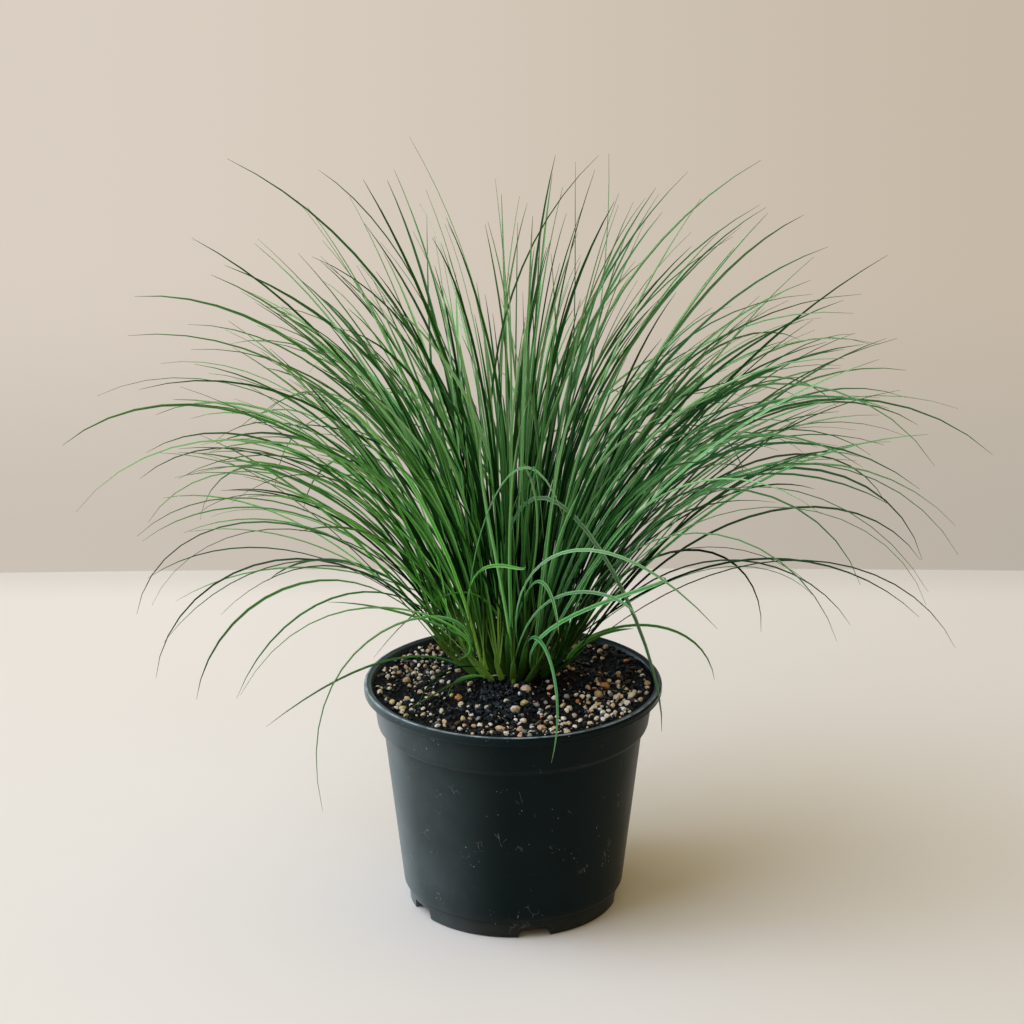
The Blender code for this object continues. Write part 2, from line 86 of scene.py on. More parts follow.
# Potting mix
MIX_LEVEL = 106.0 * MM
MIX_EDGE_RADIUS = 65.5 * MM
MIX_EDGE_LEAST = 107.3 * MM
EDGE_RISE = 1.3 * MM
CROWN_X, CROWN_Y = 0.0, 5.0 * MM
CROWN_HALF_WIDTH, CROWN_HALF_DEPTH = 20.0 * MM, 16.0 * MM
CROWN_TOP = 112.0 * MM
CROWN_MARGIN = 3.5 * MM
MOUND_SPREAD = 1.0
HEAP_X, HEAP_Y, HEAP_RADIUS, HEAP_RISE = -5.0 * MM, -26.0 * MM, 24.0 * MM, 2.6 * MM
HOLLOW_X, HOLLOW_Y, HOLLOW_RADIUS, HOLLOW_DEPTH = 34.0 * MM, 22.0 * MM, 20.0 * MM, 2.4 * MM
LUMP_HEIGHT, LUMP_SIZE = 1.1 * MM, 13.0 * MM
CRUMB_HEIGHT, CRUMB_SIZE = 0.55 * MM, 3.2 * MM
MIX_RINGS, MIX_STEPS = 58, 180

# Grass
SHOOT_COUNT = 48
GOLDEN_TURN = math.radians(137.508)
SHEATH_FOOT_RADIUS, SHEATH_TOP_RADIUS = 1.7 * MM, 1.05 * MM
SHEATH_LEAN = math.radians(46)
LEAVES_PER_SHOOT = 3
USUAL_LENGTH = (165 * MM, 232 * MM)
MOST_LEAN = math.radians(76)
FRONT_UPRIGHT = 0.6
LEAF_HALF_WIDTH, LEAF_TIP_HALF_WIDTH = 0.9 * MM, 0.3 * MM
LEAF_CLEARANCE = 0.35 * MM
TRIES = 48
FINE_LEAVES_PER_SHOOT = (4, 11)
FINE_LENGTH = (165 * MM, 275 * MM)
FRONT_CLEARANCE = 1.8 * MM
DOME_LEAN = 14 * MM
DOME = (190 * MM, 172 * MM, 240 * MM)
LEAF_RINGS, SHEATH_RINGS, LITTER_RINGS = 20, 6, 10
LEAF_THICKNESS = 0.34 * MM
TIP_SHARE = 0.42
SHEATH_LENGTH_MM = (13, 24)
OUTERMOST_DIRECTION = math.radians(84)
CROWDING = 0.25
ARCHING_STRAY, LONG_STRAY, NEAREST_SHOOTS = 0.12, 0.08, 8
SAMPLE_SPACING = 1.2 * MM
VIEW_POINTS, VIEW_SKIPPED = 70, 12
FAR_IN_FRONT = -150 * MM
CLUMP_FOOT, CLUMP_SLOPE = 22 * MM, 0.85

# Random draws, the same in every run. The number of a leaf or a shoot is added to its seed.
LONG_SEED, ARCHING_SEED, FILLING_SEED = 1000, 3000, 5000
LOOKS_SEED, FINE_SEED = 7000, 9000
GRIT_SEED, CRUMB_SEED, BARK_SEED = 41, 42, 43
GRIT_TRIES, COARSE_GRIT_TRIES, CRUMB_TRIES, BARK_TRIES = 5200, 3400, 5200, 700
GRIT_REACH, CRUMB_REACH, BARK_REACH = 63.6 * MM, 64.6 * MM, 63.5 * MM

# Lights: name, place, height aimed at, side of the square, power in watts and colour
LIGHTS = (
    ("high_left", (-3.45, -1.35, 5.70), 0.12, 5.4, 342, (0.84, 0.955, 1.17)),
    ("low_left", (-7.20, 0.30, 2.25), 0.16, 4.2, 200, (0.80, 0.93, 1.12)),
    ("back_left", (-5.25, 3.00, 1.50), 0.08, 2.5, 75, (0.85, 0.95, 1.05)),
    ("front_fill", (-0.9, -5.1, 3.9), 0.15, 3.0, 27, (1.0, 0.96, 0.84)),
)

# Floor: its far edge, which is part of a wide circle, and the planes that cut its other sides
FLOOR_FAR_EDGE, FLOOR_RADIUS, FLOOR_STEPS = 0.4516, 9.0, 720
FLOOR_TURN = math.radians(0.25)
FLOOR_DROP = 0.2 * MM
FLOOR_SIDES = (((-1.5, 0, 0), (-1, 0, 0)), ((1.6, 0, 0), (1, 0, 0)), ((0, -2.2, 0), (0, -1, 0)))

# Leaves that arch over in front: the shoot, the share up its sheath where the leaf leaves it, then x, y and z
# in mm of the two guide points of its curve and of its tip. After them come its looks: half width in mm,
# share of blue, and share of grey bloom.
ARCHING_LEAVES = (
    ((28, 0.5, (-11, -20, 304), (71, -30, 147), (68, -40, 100)), (0.98, 0.9, 0.85)),
    ((23, 0.5, (-10, -33, 180), (32, -53, 224), (90, -75, 164)), (0.84, 0.9, 0.80)),
    ((23, 0.9, (11, -38, 161), (27, -62, 133), (17, -82, 103)), (0.92, 0.6, 0.30)),
    ((36, 0.6, (8, -30, 184), (55, -45, 168), (55, -60, 163)), (0.84, 0.9, 0.80)),
    ((15, 0.6, (11, -20, 194), (20, -30, 160), (21, -40, 148)), (0.80, 0.7, 0.35)),
    ((20, 0.5, (-36, -25, 135), (-2, -43, 285), (23, -62, 210)), (0.80, 0.4, 0.30)),
    ((33, 0.6, (-31, -24, 199), (8, -41, 173), (5, -58, 188)), (0.80, 0.1, 0.05)),
    ((15, 0.5, (0, -14, 152), (-22, -20, 186), (-60, -26, 129)), (0.72, 0.1, 0.05)),
    ((46, 0.2, (-30, -1, 120), (-55, 2, 135), (-117, 4, 84)), (0.86, 0.4, 0.15)),
    ((33, 0.8, (-9, -34, 173), (-105, -59, 167), (-85, -85, 81)), (0.92, 0.8, 0.45)),
    ((47, 0.4, (31, -4, 143), (88, -7, 151), (94, -10, 113)), (0.66, 0.5, 0.10)),
    ((44, 0.6, (-8, -29, 159), (93, -42, 176), (64, -55, 179)), (1.05, 0.7, 0.25)),
)
ARCHING_BEND = math.radians(150)
ARCHING_TWIST = math.radians(62)

# More arching leaves in the same terms, without a solid
FINE_ARCHES = (
    ((2, 0.6, (20, -15, 196), (9, -30, 220), (4, -45, 232)), (0.76, 0.7, 0.35)),
    ((38, 0.5, (-1, -8, 127), (-49, -19, 155), (-84, -30, 160)), (0.95, 0.6, 0.20)),
    ((46, 0.6, (6, -29, 137), (-80, -52, 203), (-121, -75, 133)), (0.70, 0.3, 0.05)),
    ((47, 0.5, (27, -3, 124), (34, -4, 135), (56, -5, 137)), (1.15, 0.2, 0.0)),
    ((41, 0.1, (-22, -12, 118), (-29, -14, 115), (-30, -19, 109)), (0.85, 0.5, 0.10)),
    ((41, 0.2, (-24, -14, 118), (-33, -24, 113), (-47, -35, 110)), (1.00, 0.1, 0.0)),
    ((28, 0.5, (-4, -18, 224), (7, -27, 208), (5, -35, 217)), (0.50, 0.5, 0.10)),
    ((18, 0.6, (26, -13, 177), (57, -21, 226), (75, -30, 237)), (0.88, 0.8, 0.40)),
    ((41, 0.7, (-37, -25, 240), (-94, -35, 268), (-69, -45, 253)), (0.90, 0.1, 0.0)),
    ((36, 0.7, (-1, -24, 161), (-19, -32, 225), (-13, -40, 245)), (0.85, 0.5, 0.10)),
)

# Long leaves that stand out of the clump: tip x, y and z in mm, then the bend from root to tip in degrees.
LEFT_LEAVES = (
    (-129, 30, 352, 60), (-142, -10, 325, 42), (-93, 110, 329, 70), (-175, 40, 285, 85),
    (-171, -20, 283, 80), (-153, 60, 266, 80), (-131, -40, 316, 50), (-84, -80, 334, 58),
    (-101, 60, 289, 50), (-169, 80, 241, 82), (-193, 30, 240, 100), (-163, -50, 267, 85),
    (-175, -10, 244, 88), (-209, 20, 219, 108), (-195, -40, 207, 122), (-176, 60, 167, 120),
    (-178, 20, 135, 135), (-160, -60, 135, 140), (-140, -80, 133, 135), (-119, -110, 146, 115),
    (-119, 60, 137, 90),
)
RIGHT_LEAVES = (
    (112, 20, 353, 62), (142, 120, 304, 60), (148, 60, 303, 60), (168, 0, 314, 32),
    (149, -40, 298, 85), (170, 30, 264, 98), (140, -90, 292, 66), (206, 20, 236, 86),
    (213, -40, 233, 112), (186, -50, 231, 138), (189, 70, 207, 84), (177, -70, 227, 106),
    (194, 30, 158, 138), (188, -30, 158, 134), (207, 0, 125, 106), (154, -60, 179, 148),
    (141, -90, 164, 138), (146, 60, 129, 84), (123, 80, 102, 136),
)
TOP_LEAVES = (
    (-46, 20, 364, 34), (-64, -40, 358, 20), (-55, 70, 338, 36), (20, 50, 349, 50),
    (38, -20, 364, 58), (44, 30, 354, -20), (57, -50, 352, 40), (66, 40, 336, 36),
    (-5, 80, 324, 30), (-28, -60, 346, 34), (-33, -100, 347, 48), (9, -120, 348, 46),
)
FRONT_LEAVES = (
    (-44, -42, 110, 96), (12, -198, 250, 96),
)
BACK_LEAVES = (
    (-30, 198, 226, 92), (60, 180, 190, 104), (-96, 158, 262, 66), (110, 150, 250, 70),
    (20, 150, 318, 44),
)

# Grit that stands out on the mix, by kind: x, y and size in mm.
NAMED_GRIT = {
    "cream": (
        (-47, 15, 3.5), (-44, 14, 2.7), (-56, 19, 3.9), (-58, -5, 3.3), (-54, -30, 3.0), (-47, -29, 2.7),
        (-37, -11, 3.1), (-47, 29, 3.3), (-41, 29, 3.0), (-46, 36, 3.0), (-45, 44, 2.7), (-38, 39, 2.8),
        (-30, 13, 2.3), (-26, 5, 3.5), (-30, -5, 2.3), (-24, -24, 3.4), (-20, -16, 2.8), (-33, -31, 3.6),
        (-12, -31, 3.1), (-3, -28, 3.8), (1, -34, 5.6), (6, -18, 5.2), (17, -39, 3.4), (23, -40, 3.0),
        (23, -46, 3.4), (28, -52, 3.0), (28, -36, 3.1), (17, -56, 3.1), (-3, -60, 3.0), (-10, -59, 2.2),
        (-13, -55, 2.3), (59, -11, 3.1), (59, -20, 2.8), (53, -6, 2.8), (55, -14, 4.4), (53, -23, 3.9),
        (48, -16, 4.1), (44, -30, 2.7), (43, -39, 3.3), (46, -38, 3.1), (40, -29, 2.7), (38, -24, 2.8),
        (38, -16, 2.8), (35, -15, 2.8), (33, -13, 2.0), (36, -30, 2.8),
    ),
    "tan": (
        (-50, 7, 5.9), (-51, 23, 3.1), (-62, -11, 3.8), (-40, -15, 3.1), (-37, 22, 3.5), (-41, 42, 3.3),
        (-36, 46, 3.3), (-30, 37, 3.1), (-26, 18, 2.3), (-20, -11, 3.8), (17, -15, 3.8), (16, -28, 2.7),
        (23, -25, 3.6), (20, -38, 2.8), (13, -51, 5.2), (3, -54, 4.4), (-6, -52, 5.5), (-12, -48, 2.0),
        (-22, -46, 2.8), (-18, -46, 2.7), (35, -8, 3.4), (63, -1, 3.8), (51, -21, 2.8), (46, -25, 3.9),
        (40, -22, 2.7), (35, -21, 2.8), (40, -12, 4.7), (56, 29, 2.0), (60, 14, 2.3), (45, 45, 3.4),
        (43, 34, 2.8), (42, 41, 3.6), (30, 48, 4.4), (37, 47, 3.6), (41, 19, 2.7),
    ),
    "white": (
        (-36, -2, 2.0), (-37, -5, 1.7), (-30, 46, 2.5), (3, -21, 2.2), (12, -33, 2.3), (1, -42, 2.8),
        (-24, -54, 3.1), (41, -44, 3.1), (34, -31, 2.3), (57, 4, 1.6),
    ),
    "grey": (
        (-10, -39, 2.3), (-6, -33, 2.3), (11, -27, 3.1), (15, -25, 2.7), (25, -18, 3.4), (4, -38, 2.7),
        (-16, -40, 3.4),
    ),
    "yellow": (
        (-56, -23, 3.8), (-51, -30, 3.8), (5, -27, 4.8), (-23, -39, 3.3),
    ),
    "orange": (
        (-25, -19, 4.7), (13, -38, 2.8), (43, -3, 5.0), (54, 28, 3.0),
    ),
}
# Beds where the grit lies thick: x, y and radius in mm, then its share.
GRIT_BEDS = (
    (46, -24, 30, 1.0), (12, -56, 26, 1.0), (-48, 20, 28, 0.75), (-32, 50, 24, 0.8), (-50, -28, 20, 0.55),
    (20, 58, 22, 0.6),
)
# The dark and the light colour of each kind of grit, then how often each kind comes.
GRIT_COLOURS = {
    "cream": ((0.70, 0.56, 0.40), (0.86, 0.77, 0.62)),
    "tan": ((0.52, 0.34, 0.19), (0.72, 0.53, 0.34)),
    "white": ((0.78, 0.76, 0.71), (0.90, 0.88, 0.84)),
    "grey": ((0.16, 0.16, 0.16), (0.34, 0.33, 0.31)),
    "yellow": ((0.50, 0.40, 0.14), (0.62, 0.52, 0.24)),
    "orange": ((0.55, 0.20, 0.05), (0.70, 0.33, 0.11)),
}
GRIT_WEIGHTS = (46, 26, 9, 12, 5, 1.5)

# Dead bits on the mix. Each has its dark and light colour, then rows of a half width and the points of its
# curve, all in mm.
LITTER = {
    "dead_roots": ((0.30, 0.21, 0.10), (0.62, 0.50, 0.30), (
        (0.30, (
            (20.6, 15.7, 107.5), (21.5, 12.1, 110), (23.3, 9.6, 111.2), (26.1, 7.0, 110), (28.0, 3.2, 107.6),
        )),
        (0.26, ((28.5, 6.9, 107.5), (30.7, -1.8, 108.6), (32.9, -7.9, 107.3))),
        (0.22, ((6.2, -14.0, 108.5), (8.3, -21.0, 109.6), (9.8, -28.4, 108.3))),
        (0.22, ((-19.9, -11.6, 109), (-18.0, -16.0, 109.8), (-16.5, -20.0, 109))),
        (0.20, ((-44, -10, 107.4), (-40, -14, 108.3), (-34, -15, 107.4))),
        (0.20, ((46, 12, 105.6), (50, 16, 106.6), (52, 22, 106.2))),
    )),
    "papery_sheath": ((0.42, 0.34, 0.20), (0.74, 0.64, 0.44), (
        (0.55, ((-15.4, 1.0, 113.5), (-16.2, -1.0, 117), (-17.7, -2.3, 121))),
        (0.45, ((-11.2, -5.0, 112.5), (-9.0, -8.0, 115), (-3.6, -9.4, 115.4))),
    )),
    "young_bud": ((0.06, 0.16, 0.02), (0.22, 0.36, 0.06), (
        (0.95, ((0.2, -12.0, 110.0), (0.2, -12.0, 114.5), (0.4, -11.4, 119.5))),
    )),
}


# ---------------------------------------------------------------- node helpers


def put(tree, kind, inputs=None, **settings):
    """Adds a shader node. An input is a plain value or another node's output."""
    node = tree.nodes.new("ShaderNode" + kind)
    for name, value in settings.items():
        setattr(node, name, value)
    for name, value in (inputs or {}).items():
        if isinstance(value, bpy.types.NodeSocket):
            tree.links.new(value, node.inputs[name])
        else:
            node.inputs[name].default_value = value
    return node


def blended(tree, share, first, second):
    """Colour from first to second by share. A colour is three numbers or another node's output."""
    ends = [(*colour, 1.0) if isinstance(colour, tuple) else colour for colour in (first, second)]
    return put(tree, "Mix", {0: share, 6: ends[0], 7: ends[1]}, data_type="RGBA").outputs[2]


def layered(tree, colour, *layers):
    """The colour under several layers. A layer is its share and its colour, the lowest first."""
    for share, tint in layers:
        colour = blended(tree, share, colour, tint)
    return colour


def ranged(tree, value, low, high, to_low=0.0, to_high=1.0):
    """A value mapped smoothly from one range to another, and held at its ends."""
    inputs = {"Value": value, "From Min": low, "From Max": high, "To Min": to_low, "To Max": to_high}
    return put(tree, "MapRange", inputs, interpolation_type="SMOOTHSTEP").outputs["Result"]


def worked(tree, operation, *values):
    """One step of arithmetic."""
    return put(tree, "Math", dict(enumerate(values)), operation=operation).outputs[0]


def product(tree, *values):
    return reduce(partial(worked, tree, "MULTIPLY"), values)


def total(tree, *values):
    return reduce(partial(worked, tree, "ADD"), values)


def object_place(tree):
    return put(tree, "TexCoord").outputs["Object"]


def object_axes(tree):
    """The place on the object as its outputs X, Y and Z."""
    return put(tree, "SeparateXYZ", {"Vector": object_place(tree)}).outputs


def off_axis(tree, x, y):
    """How far a place lies from the upright axis."""
    level = put(tree, "CombineXYZ", {"X": x, "Y": y}).outputs[0]
    return put(tree, "VectorMath", {0: level}, operation="LENGTH").outputs["Value"]


def stretched(tree, vector, scale):
    return put(tree, "Mapping", {"Vector": vector, "Scale": scale}).outputs["Vector"]


def cloudy(tree, vector, scale, detail=4.0, roughness=0.55):
    inputs = {"Vector": vector, "Scale": scale, "Detail": detail, "Roughness": roughness}
    return put(tree, "TexNoise", inputs).outputs["Fac"]


def cells(tree, vector, scale, feature="F1"):
    """Distance from the middle of the nearest cell, or from its edge."""
    inputs = {"Vector": vector, "Scale": scale}
    return put(tree, "TexVoronoi", inputs, feature=feature).outputs["Distance"]


def marks(tree, distance, near, far, here, share):
    """Share of a mark where the distance in a cell is small, only in the patches that here gives."""
    return product(tree, ranged(tree, distance, near, far, 1.0, 0.0), here, share)


def attribute(tree, name):
    return put(tree, "Attribute", attribute_name=name).outputs["Fac"]


def raised(tree, height, distance, strength=1.0):
    inputs = {"Height": height, "Distance": distance, "Strength": strength}
    return put(tree, "Bump", inputs).outputs["Normal"]


def new_finish(name, **fixed):
    """A Principled material and its node tree. The fixed values go on the shader's own sockets."""
    material = bpy.data.materials.new(name)
    material.use_nodes = True
    surface = material.node_tree.nodes["Principled BSDF"]
    for socket, value in fixed.items():
        surface.inputs[socket.replace("_", " ")].default_value = value
    return material, material.node_tree


def finished(material, **links):
    """The material with the outputs of its nodes linked to its shader."""
    surface = material.node_tree.nodes["Principled BSDF"]
    for socket, output in links.items():
        material.node_tree.links.new(output, surface.inputs[socket.replace("_", " ")])
    return material


# ---------------------------------------------------------------- finishes


def clump_shade_share(tree, way):
    """Share of painted shade deep inside the clump, where the leaves lie in shade: 0 outside and above."""
    behind = product(tree, worked(tree, "SUBTRACT", way["Y"], CROWN_Y), 1.2)
    spread = worked(tree, "MULTIPLY_ADD", way["Z"], CLUMP_SLOPE, CLUMP_FOOT - CLUMP_SLOPE * CROWN_TOP)
    outward = worked(tree, "DIVIDE", off_axis(tree, way["X"], behind), spread)
    return product(tree, ranged(tree, outward, 0.25, 0.85, 0.7, 0.0), ranged(tree, way["Z"], 0.30, 0.15))


def leaf_finish():
    """Green leaf: yellow-green at a ripe sheath, straw at the tip, streaked lengthwise and ribbed, with
    painted shade inside the clump and low down, and painted highlights on the upper leaves, edges and
    streaks.
    """
    material, tree = new_finish("leaf_green", Specular_IOR_Level=0.06)
    along, side, tone, inner = (attribute(tree, name) for name in ("along", "side", "tone", "inner"))
    way = object_axes(tree)
    fibre = put(tree, "CombineXYZ", {"X": side, "Y": along, "Z": tone}).outputs[0]
    streak = cloudy(tree, stretched(tree, fibre, (2.2, 9.0, 90.0)), 1.6, 3.0)
    strong = ranged(tree, tone, 0.30, 0.95)
    outward = worked(tree, "ABSOLUTE", side)
    # Painted fill: at the right, where the leaves face away from the light, the darkest tones are lifted.
    painted_fill_right = ranged(tree, way["X"], 0.02, 0.13, 0.0, 0.13)
    bright = worked(tree, "MAXIMUM", worked(tree, "POWER", tone, 1.6), painted_fill_right)
    warm = blended(tree, bright, (0.0008, 0.042, 0.0005), (0.175, 0.900, 0.035))
    blue = blended(tree, bright, (0.0008, 0.038, 0.0060), (0.185, 0.820, 0.260))
    green = blended(tree, attribute(tree, "cool"), warm, blue)
    # Lengthwise streaks: partly the leaf's own fibres, partly painted gloss highlights in a pale green.
    fibres = product(tree, ranged(tree, streak, 0.38, 0.68, 0.0, 0.6), strong)
    bloom = product(
        tree,
        attribute(tree, "bloom"),
        ranged(tree, along, 0.05, 0.40, 0.25, 1.0),
        ranged(tree, streak, 0.35, 0.62, 0.35, 1.0),
    )
    # Painted shade: a dark line down the middle of the leaf, where its fold lies in shade.
    midline = ranged(tree, outward, 0.0, 0.5, 0.6, 0.0)
    # Painted highlights: pale lines along the leaf edges stand in for glints of light.
    edges = product(tree, ranged(tree, outward, 0.45, 1.0, 0.0, 0.6), strong)
    # Older outer parts turn dull; the lighter dull colour at the right is a painted fill for the shaded side.
    dull = blended(tree, ranged(tree, way["X"], 0.02, 0.14), (0.016, 0.080, 0.010), (0.045, 0.150, 0.045))
    above = ranged(tree, way["Z"], 0.15, 0.28, 0.0, 0.62)
    sunlit = product(tree, above, ranged(tree, tone, 0.32, 0.95))
    # Painted shade: leaves deep in the clump and low down are drawn near black.
    deep = product(tree, clump_shade_share(tree, way), inner, ranged(tree, tone, 0.25, 0.95, 1.3, 0.35))
    low = ranged(tree, way["Z"], 0.22, 0.14, 0.0, 0.95)
    low = product(tree, low, ranged(tree, tone, 0.40, 0.85, 1.0, 0.1), inner)
    inside = worked(tree, "MAXIMUM", deep, low)
    sheath = blended(tree, attribute(tree, "ripe"), (0.008, 0.050, 0.006), (0.38, 0.72, 0.13))
    tip = product(tree, ranged(tree, along, 0.93, 1.0), ranged(tree, tone, 0.3, 0.7, 0.15, 0.9))
    green = layered(
        tree,
        green,
        (fibres, blended(tree, 0.6, green, (0.38, 0.70, 0.28))),
        (bloom, (0.250, 0.400, 0.270)),
        (midline, (0.003, 0.045, 0.007)),
        (edges, (0.52, 0.84, 0.44)),
        (ranged(tree, along, 0.35, 0.90, 0.0, 0.45), blended(tree, tone, dull, (0.14, 0.23, 0.09))),
        (sunlit, (0.38, 0.62, 0.32)),
        # Painted shade deep in the clump and at its foot.
        (inside, (0.0005, 0.009, 0.001)),
        (ranged(tree, along, 0.02, 0.18, 1.0, 0.0), sheath),
        (tip, (0.20, 0.15, 0.055)),
    )
    ribs = worked(tree, "SINE", product(tree, side, 22.0))
    bump = raised(tree, total(tree, ribs, streak), 0.00004, 0.6)
    gloss = ranged(tree, streak, 0.25, 0.75, 0.30, 0.46)
    return finished(material, Base_Color=green, Roughness=gloss, Normal=bump)


def plastic_finish():
    """Black moulded plastic with a soft sheen, a faint dust film, a painted sheen on its left side and a
    painted highlight along the rim, scuffs and specks of dried mix.
    """
    material, tree = new_finish(
        "black_plastic",
        Specular_IOR_Level=0.07,
        Specular_Tint=(0.70, 0.93, 1.0, 1.0),
        Sheen_Weight=0.05,
        Sheen_Roughness=0.30,
        Sheen_Tint=(0.75, 0.93, 1.0, 1.0),
    )
    place, way = object_place(tree), object_axes(tree)
    mottle = cloudy(tree, place, 38.0, 5.0, 0.6)
    film = product(tree, ranged(tree, cloudy(tree, place, 17.0, 6.0, 0.68), 0.52, 0.78), 0.012)
    out = off_axis(tree, way["X"], way["Y"])
    leftward = worked(tree, "DIVIDE", way["X"], out)
    wiped = ranged(tree, cloudy(tree, place, 26.0, 4.0, 0.6), 0.35, 0.65, 0.7, 1.0)
    # Painted sheen: the pot's left side is drawn lighter and bluish, broadly and most at the far left edge,
    # where light grazes it, and less on the lip.
    broad_painted_sheen = product(tree, ranged(tree, leftward, 0.0, -1.0, 0.0, 0.25), wiped)
    bloom = product(
        tree,
        total(tree, broad_painted_sheen, ranged(tree, leftward, -0.76, -0.98, 0.0, 0.22)),
        ranged(tree, way["Z"], COLLAR_BOTTOM, COLLAR_BOTTOM + 4 * MM, 1.0, 1.2),
        ranged(tree, way["Z"], POT_HEIGHT - LIP_DEPTH - MM, POT_HEIGHT - LIP_DEPTH, 1.0, 0.6),
    )
    # Painted highlight: a pale bluish line along the rim's top outer edge, stronger at the left, broken up by
    # noise.
    painted_rim_highlight = product(
        tree,
        ranged(tree, out, RIM_RADIUS - 1.7 * MM, RIM_RADIUS - 1.1 * MM),
        ranged(tree, out, RIM_RADIUS - 0.35 * MM, RIM_RADIUS - 0.7 * MM),
        ranged(tree, way["Z"], POT_HEIGHT - MM, POT_HEIGHT - 0.6 * MM),
        ranged(tree, leftward, 0.9, -0.5, 0.5, 0.85),
        ranged(tree, cloudy(tree, place, 110.0, 4.0, 0.6), 0.36, 0.60, 0.35, 1.0),
    )
    strayed = put(tree, "TexNoise", {"Vector": place, "Scale": 260.0, "Detail": 3.0}).outputs["Color"]
    strayed = {0: strayed, 1: (0.004, 0.004, 0.004), 2: place}
    strayed = put(tree, "VectorMath", strayed, operation="MULTIPLY_ADD").outputs[0]
    scuff = cells(tree, stretched(tree, strayed, (1.0, 1.0, 0.45)), 330.0)
    scuffed = ranged(tree, cloudy(tree, place, 60.0, 4.0, 0.6), 0.58, 0.66)
    speck = cells(tree, place, 620.0)
    specked = ranged(tree, cloudy(tree, place, 85.0, 3.0), 0.60, 0.68)
    hair = cells(tree, stretched(tree, strayed, (1.0, 1.0, 0.7)), 170.0, "DISTANCE_TO_EDGE")
    haired = ranged(tree, cloudy(tree, place, 70.0, 3.0), 0.62, 0.66)
    dust = product(tree, ranged(tree, way["Z"], 0.003, 0.014, 0.16, 0.0), cloudy(tree, place, 90.0, 6.0, 0.7))
    colour = layered(
        tree,
        blended(tree, mottle, (0.0030, 0.0066, 0.0068), (0.0050, 0.0108, 0.0112)),
        # The faint dust film is the plastic's own; the bloom on top of it is the painted left sheen.
        (total(tree, film, bloom), (0.26, 0.32, 0.335)),
        (painted_rim_highlight, (0.36, 0.44, 0.48)),
        (marks(tree, scuff, 0.05, 0.13, scuffed, 0.3), (0.42, 0.42, 0.39)),
        (marks(tree, speck, 0.10, 0.17, specked, 0.8), (0.55, 0.50, 0.42)),
        (marks(tree, hair, 0.008, 0.018, haired, 0.22), (0.40, 0.40, 0.37)),
        (dust, (0.22, 0.19, 0.15)),
    )
    lip_shine = ranged(tree, way["Z"], POT_HEIGHT - LIP_DEPTH, POT_HEIGHT - 3 * MM, 0.0, -0.14)
    gloss = total(tree, ranged(tree, mottle, 0.3, 0.7, 0.30, 0.40), film, lip_shine)
    waviness = product(tree, cloudy(tree, place, 30.0, 1.0), 6.0)
    bump = raised(tree, total(tree, cloudy(tree, place, 1500.0, 2.0), waviness), 0.00003, 0.7)
    return finished(material, Base_Color=colour, Roughness=gloss, Normal=bump)


def mix_finish():
    """Damp dark potting mix with fibres and lighter crumbs."""
    material, tree = new_finish("potting_mix_dark", Specular_IOR_Level=0.14)
    place = object_place(tree)
    patches = cloudy(tree, place, 120.0, 6.0, 0.65)
    colour = blended(tree, patches, (0.0009, 0.0010, 0.0012), (0.0065, 0.0055, 0.0045))
    brown = ranged(tree, cloudy(tree, place, 420.0, 3.0), 0.62, 0.74, 0.0, 0.5)
    colour = blended(tree, brown, colour, (0.050, 0.032, 0.018))
    gloss = ranged(tree, patches, 0.3, 0.7, 0.50, 0.95)
    crumbs = total(tree, cells(tree, place, 700.0), cloudy(tree, place, 900.0, 6.0, 0.7))
    return finished(material, Base_Color=colour, Roughness=gloss, Normal=raised(tree, crumbs, 0.0006))


def crumb_finish():
    """Granules of damp peat: blue-black with a dull shine and painted bluish highlights, some brown."""
    material, tree = new_finish("peat_granule", Specular_IOR_Level=0.26)
    place, tone = object_place(tree), attribute(tree, "tone")
    # Painted highlights: bluish patches on the darker granules stand in for glints of wet shine.
    light = ranged(tree, cloudy(tree, place, 900.0, 4.0), 0.50, 0.66, 0.0, 0.8)
    colour = layered(
        tree,
        blended(tree, ranged(tree, tone, 0.50, 0.60), (0.0026, 0.0045, 0.0068), (0.0032, 0.0028, 0.0025)),
        (ranged(tree, tone, 0.90, 0.93), (0.042, 0.027, 0.016)),
        (product(tree, light, ranged(tree, tone, 0.6, 0.3)), (0.085, 0.118, 0.150)),
    )
    patches = ranged(tree, cloudy(tree, place, 600.0, 2.0), 0.3, 0.7, 0.30, 0.62)
    gloss = total(tree, patches, ranged(tree, tone, 0.4, 0.6, 0.0, 0.25))
    pits = cloudy(tree, place, 1800.0, 4.0, 0.7)
    return finished(material, Base_Color=colour, Roughness=gloss, Normal=raised(tree, pits, 0.0004))


def grit_finish(kind):
    """Porous mineral grit, with darker pores and stained hollows."""
    material, tree = new_finish(f"{kind}_grit", Specular_IOR_Level=0.35)
    place, tone = object_place(tree), attribute(tree, "tone")
    dark, light = GRIT_COLOURS[kind]
    stain = ranged(tree, cloudy(tree, place, 380.0, 5.0, 0.65), 0.48, 0.70, 0.0, 0.5)
    pores = ranged(tree, cloudy(tree, place, 1500.0, 3.0, 0.6), 0.62, 0.72, 0.0, 0.7)
    colour = layered(
        tree,
        blended(tree, tone, dark, light),
        (stain, tuple(0.45 * part for part in dark)),
        (pores, (0.10, 0.075, 0.05)),
    )
    gloss = ranged(tree, stain, 0.0, 0.6, 0.55, 0.85)
    lumps = cloudy(tree, place, 800.0, 5.0, 0.7)
    return finished(material, Base_Color=colour, Roughness=gloss, Normal=raised(tree, lumps, 0.0005))


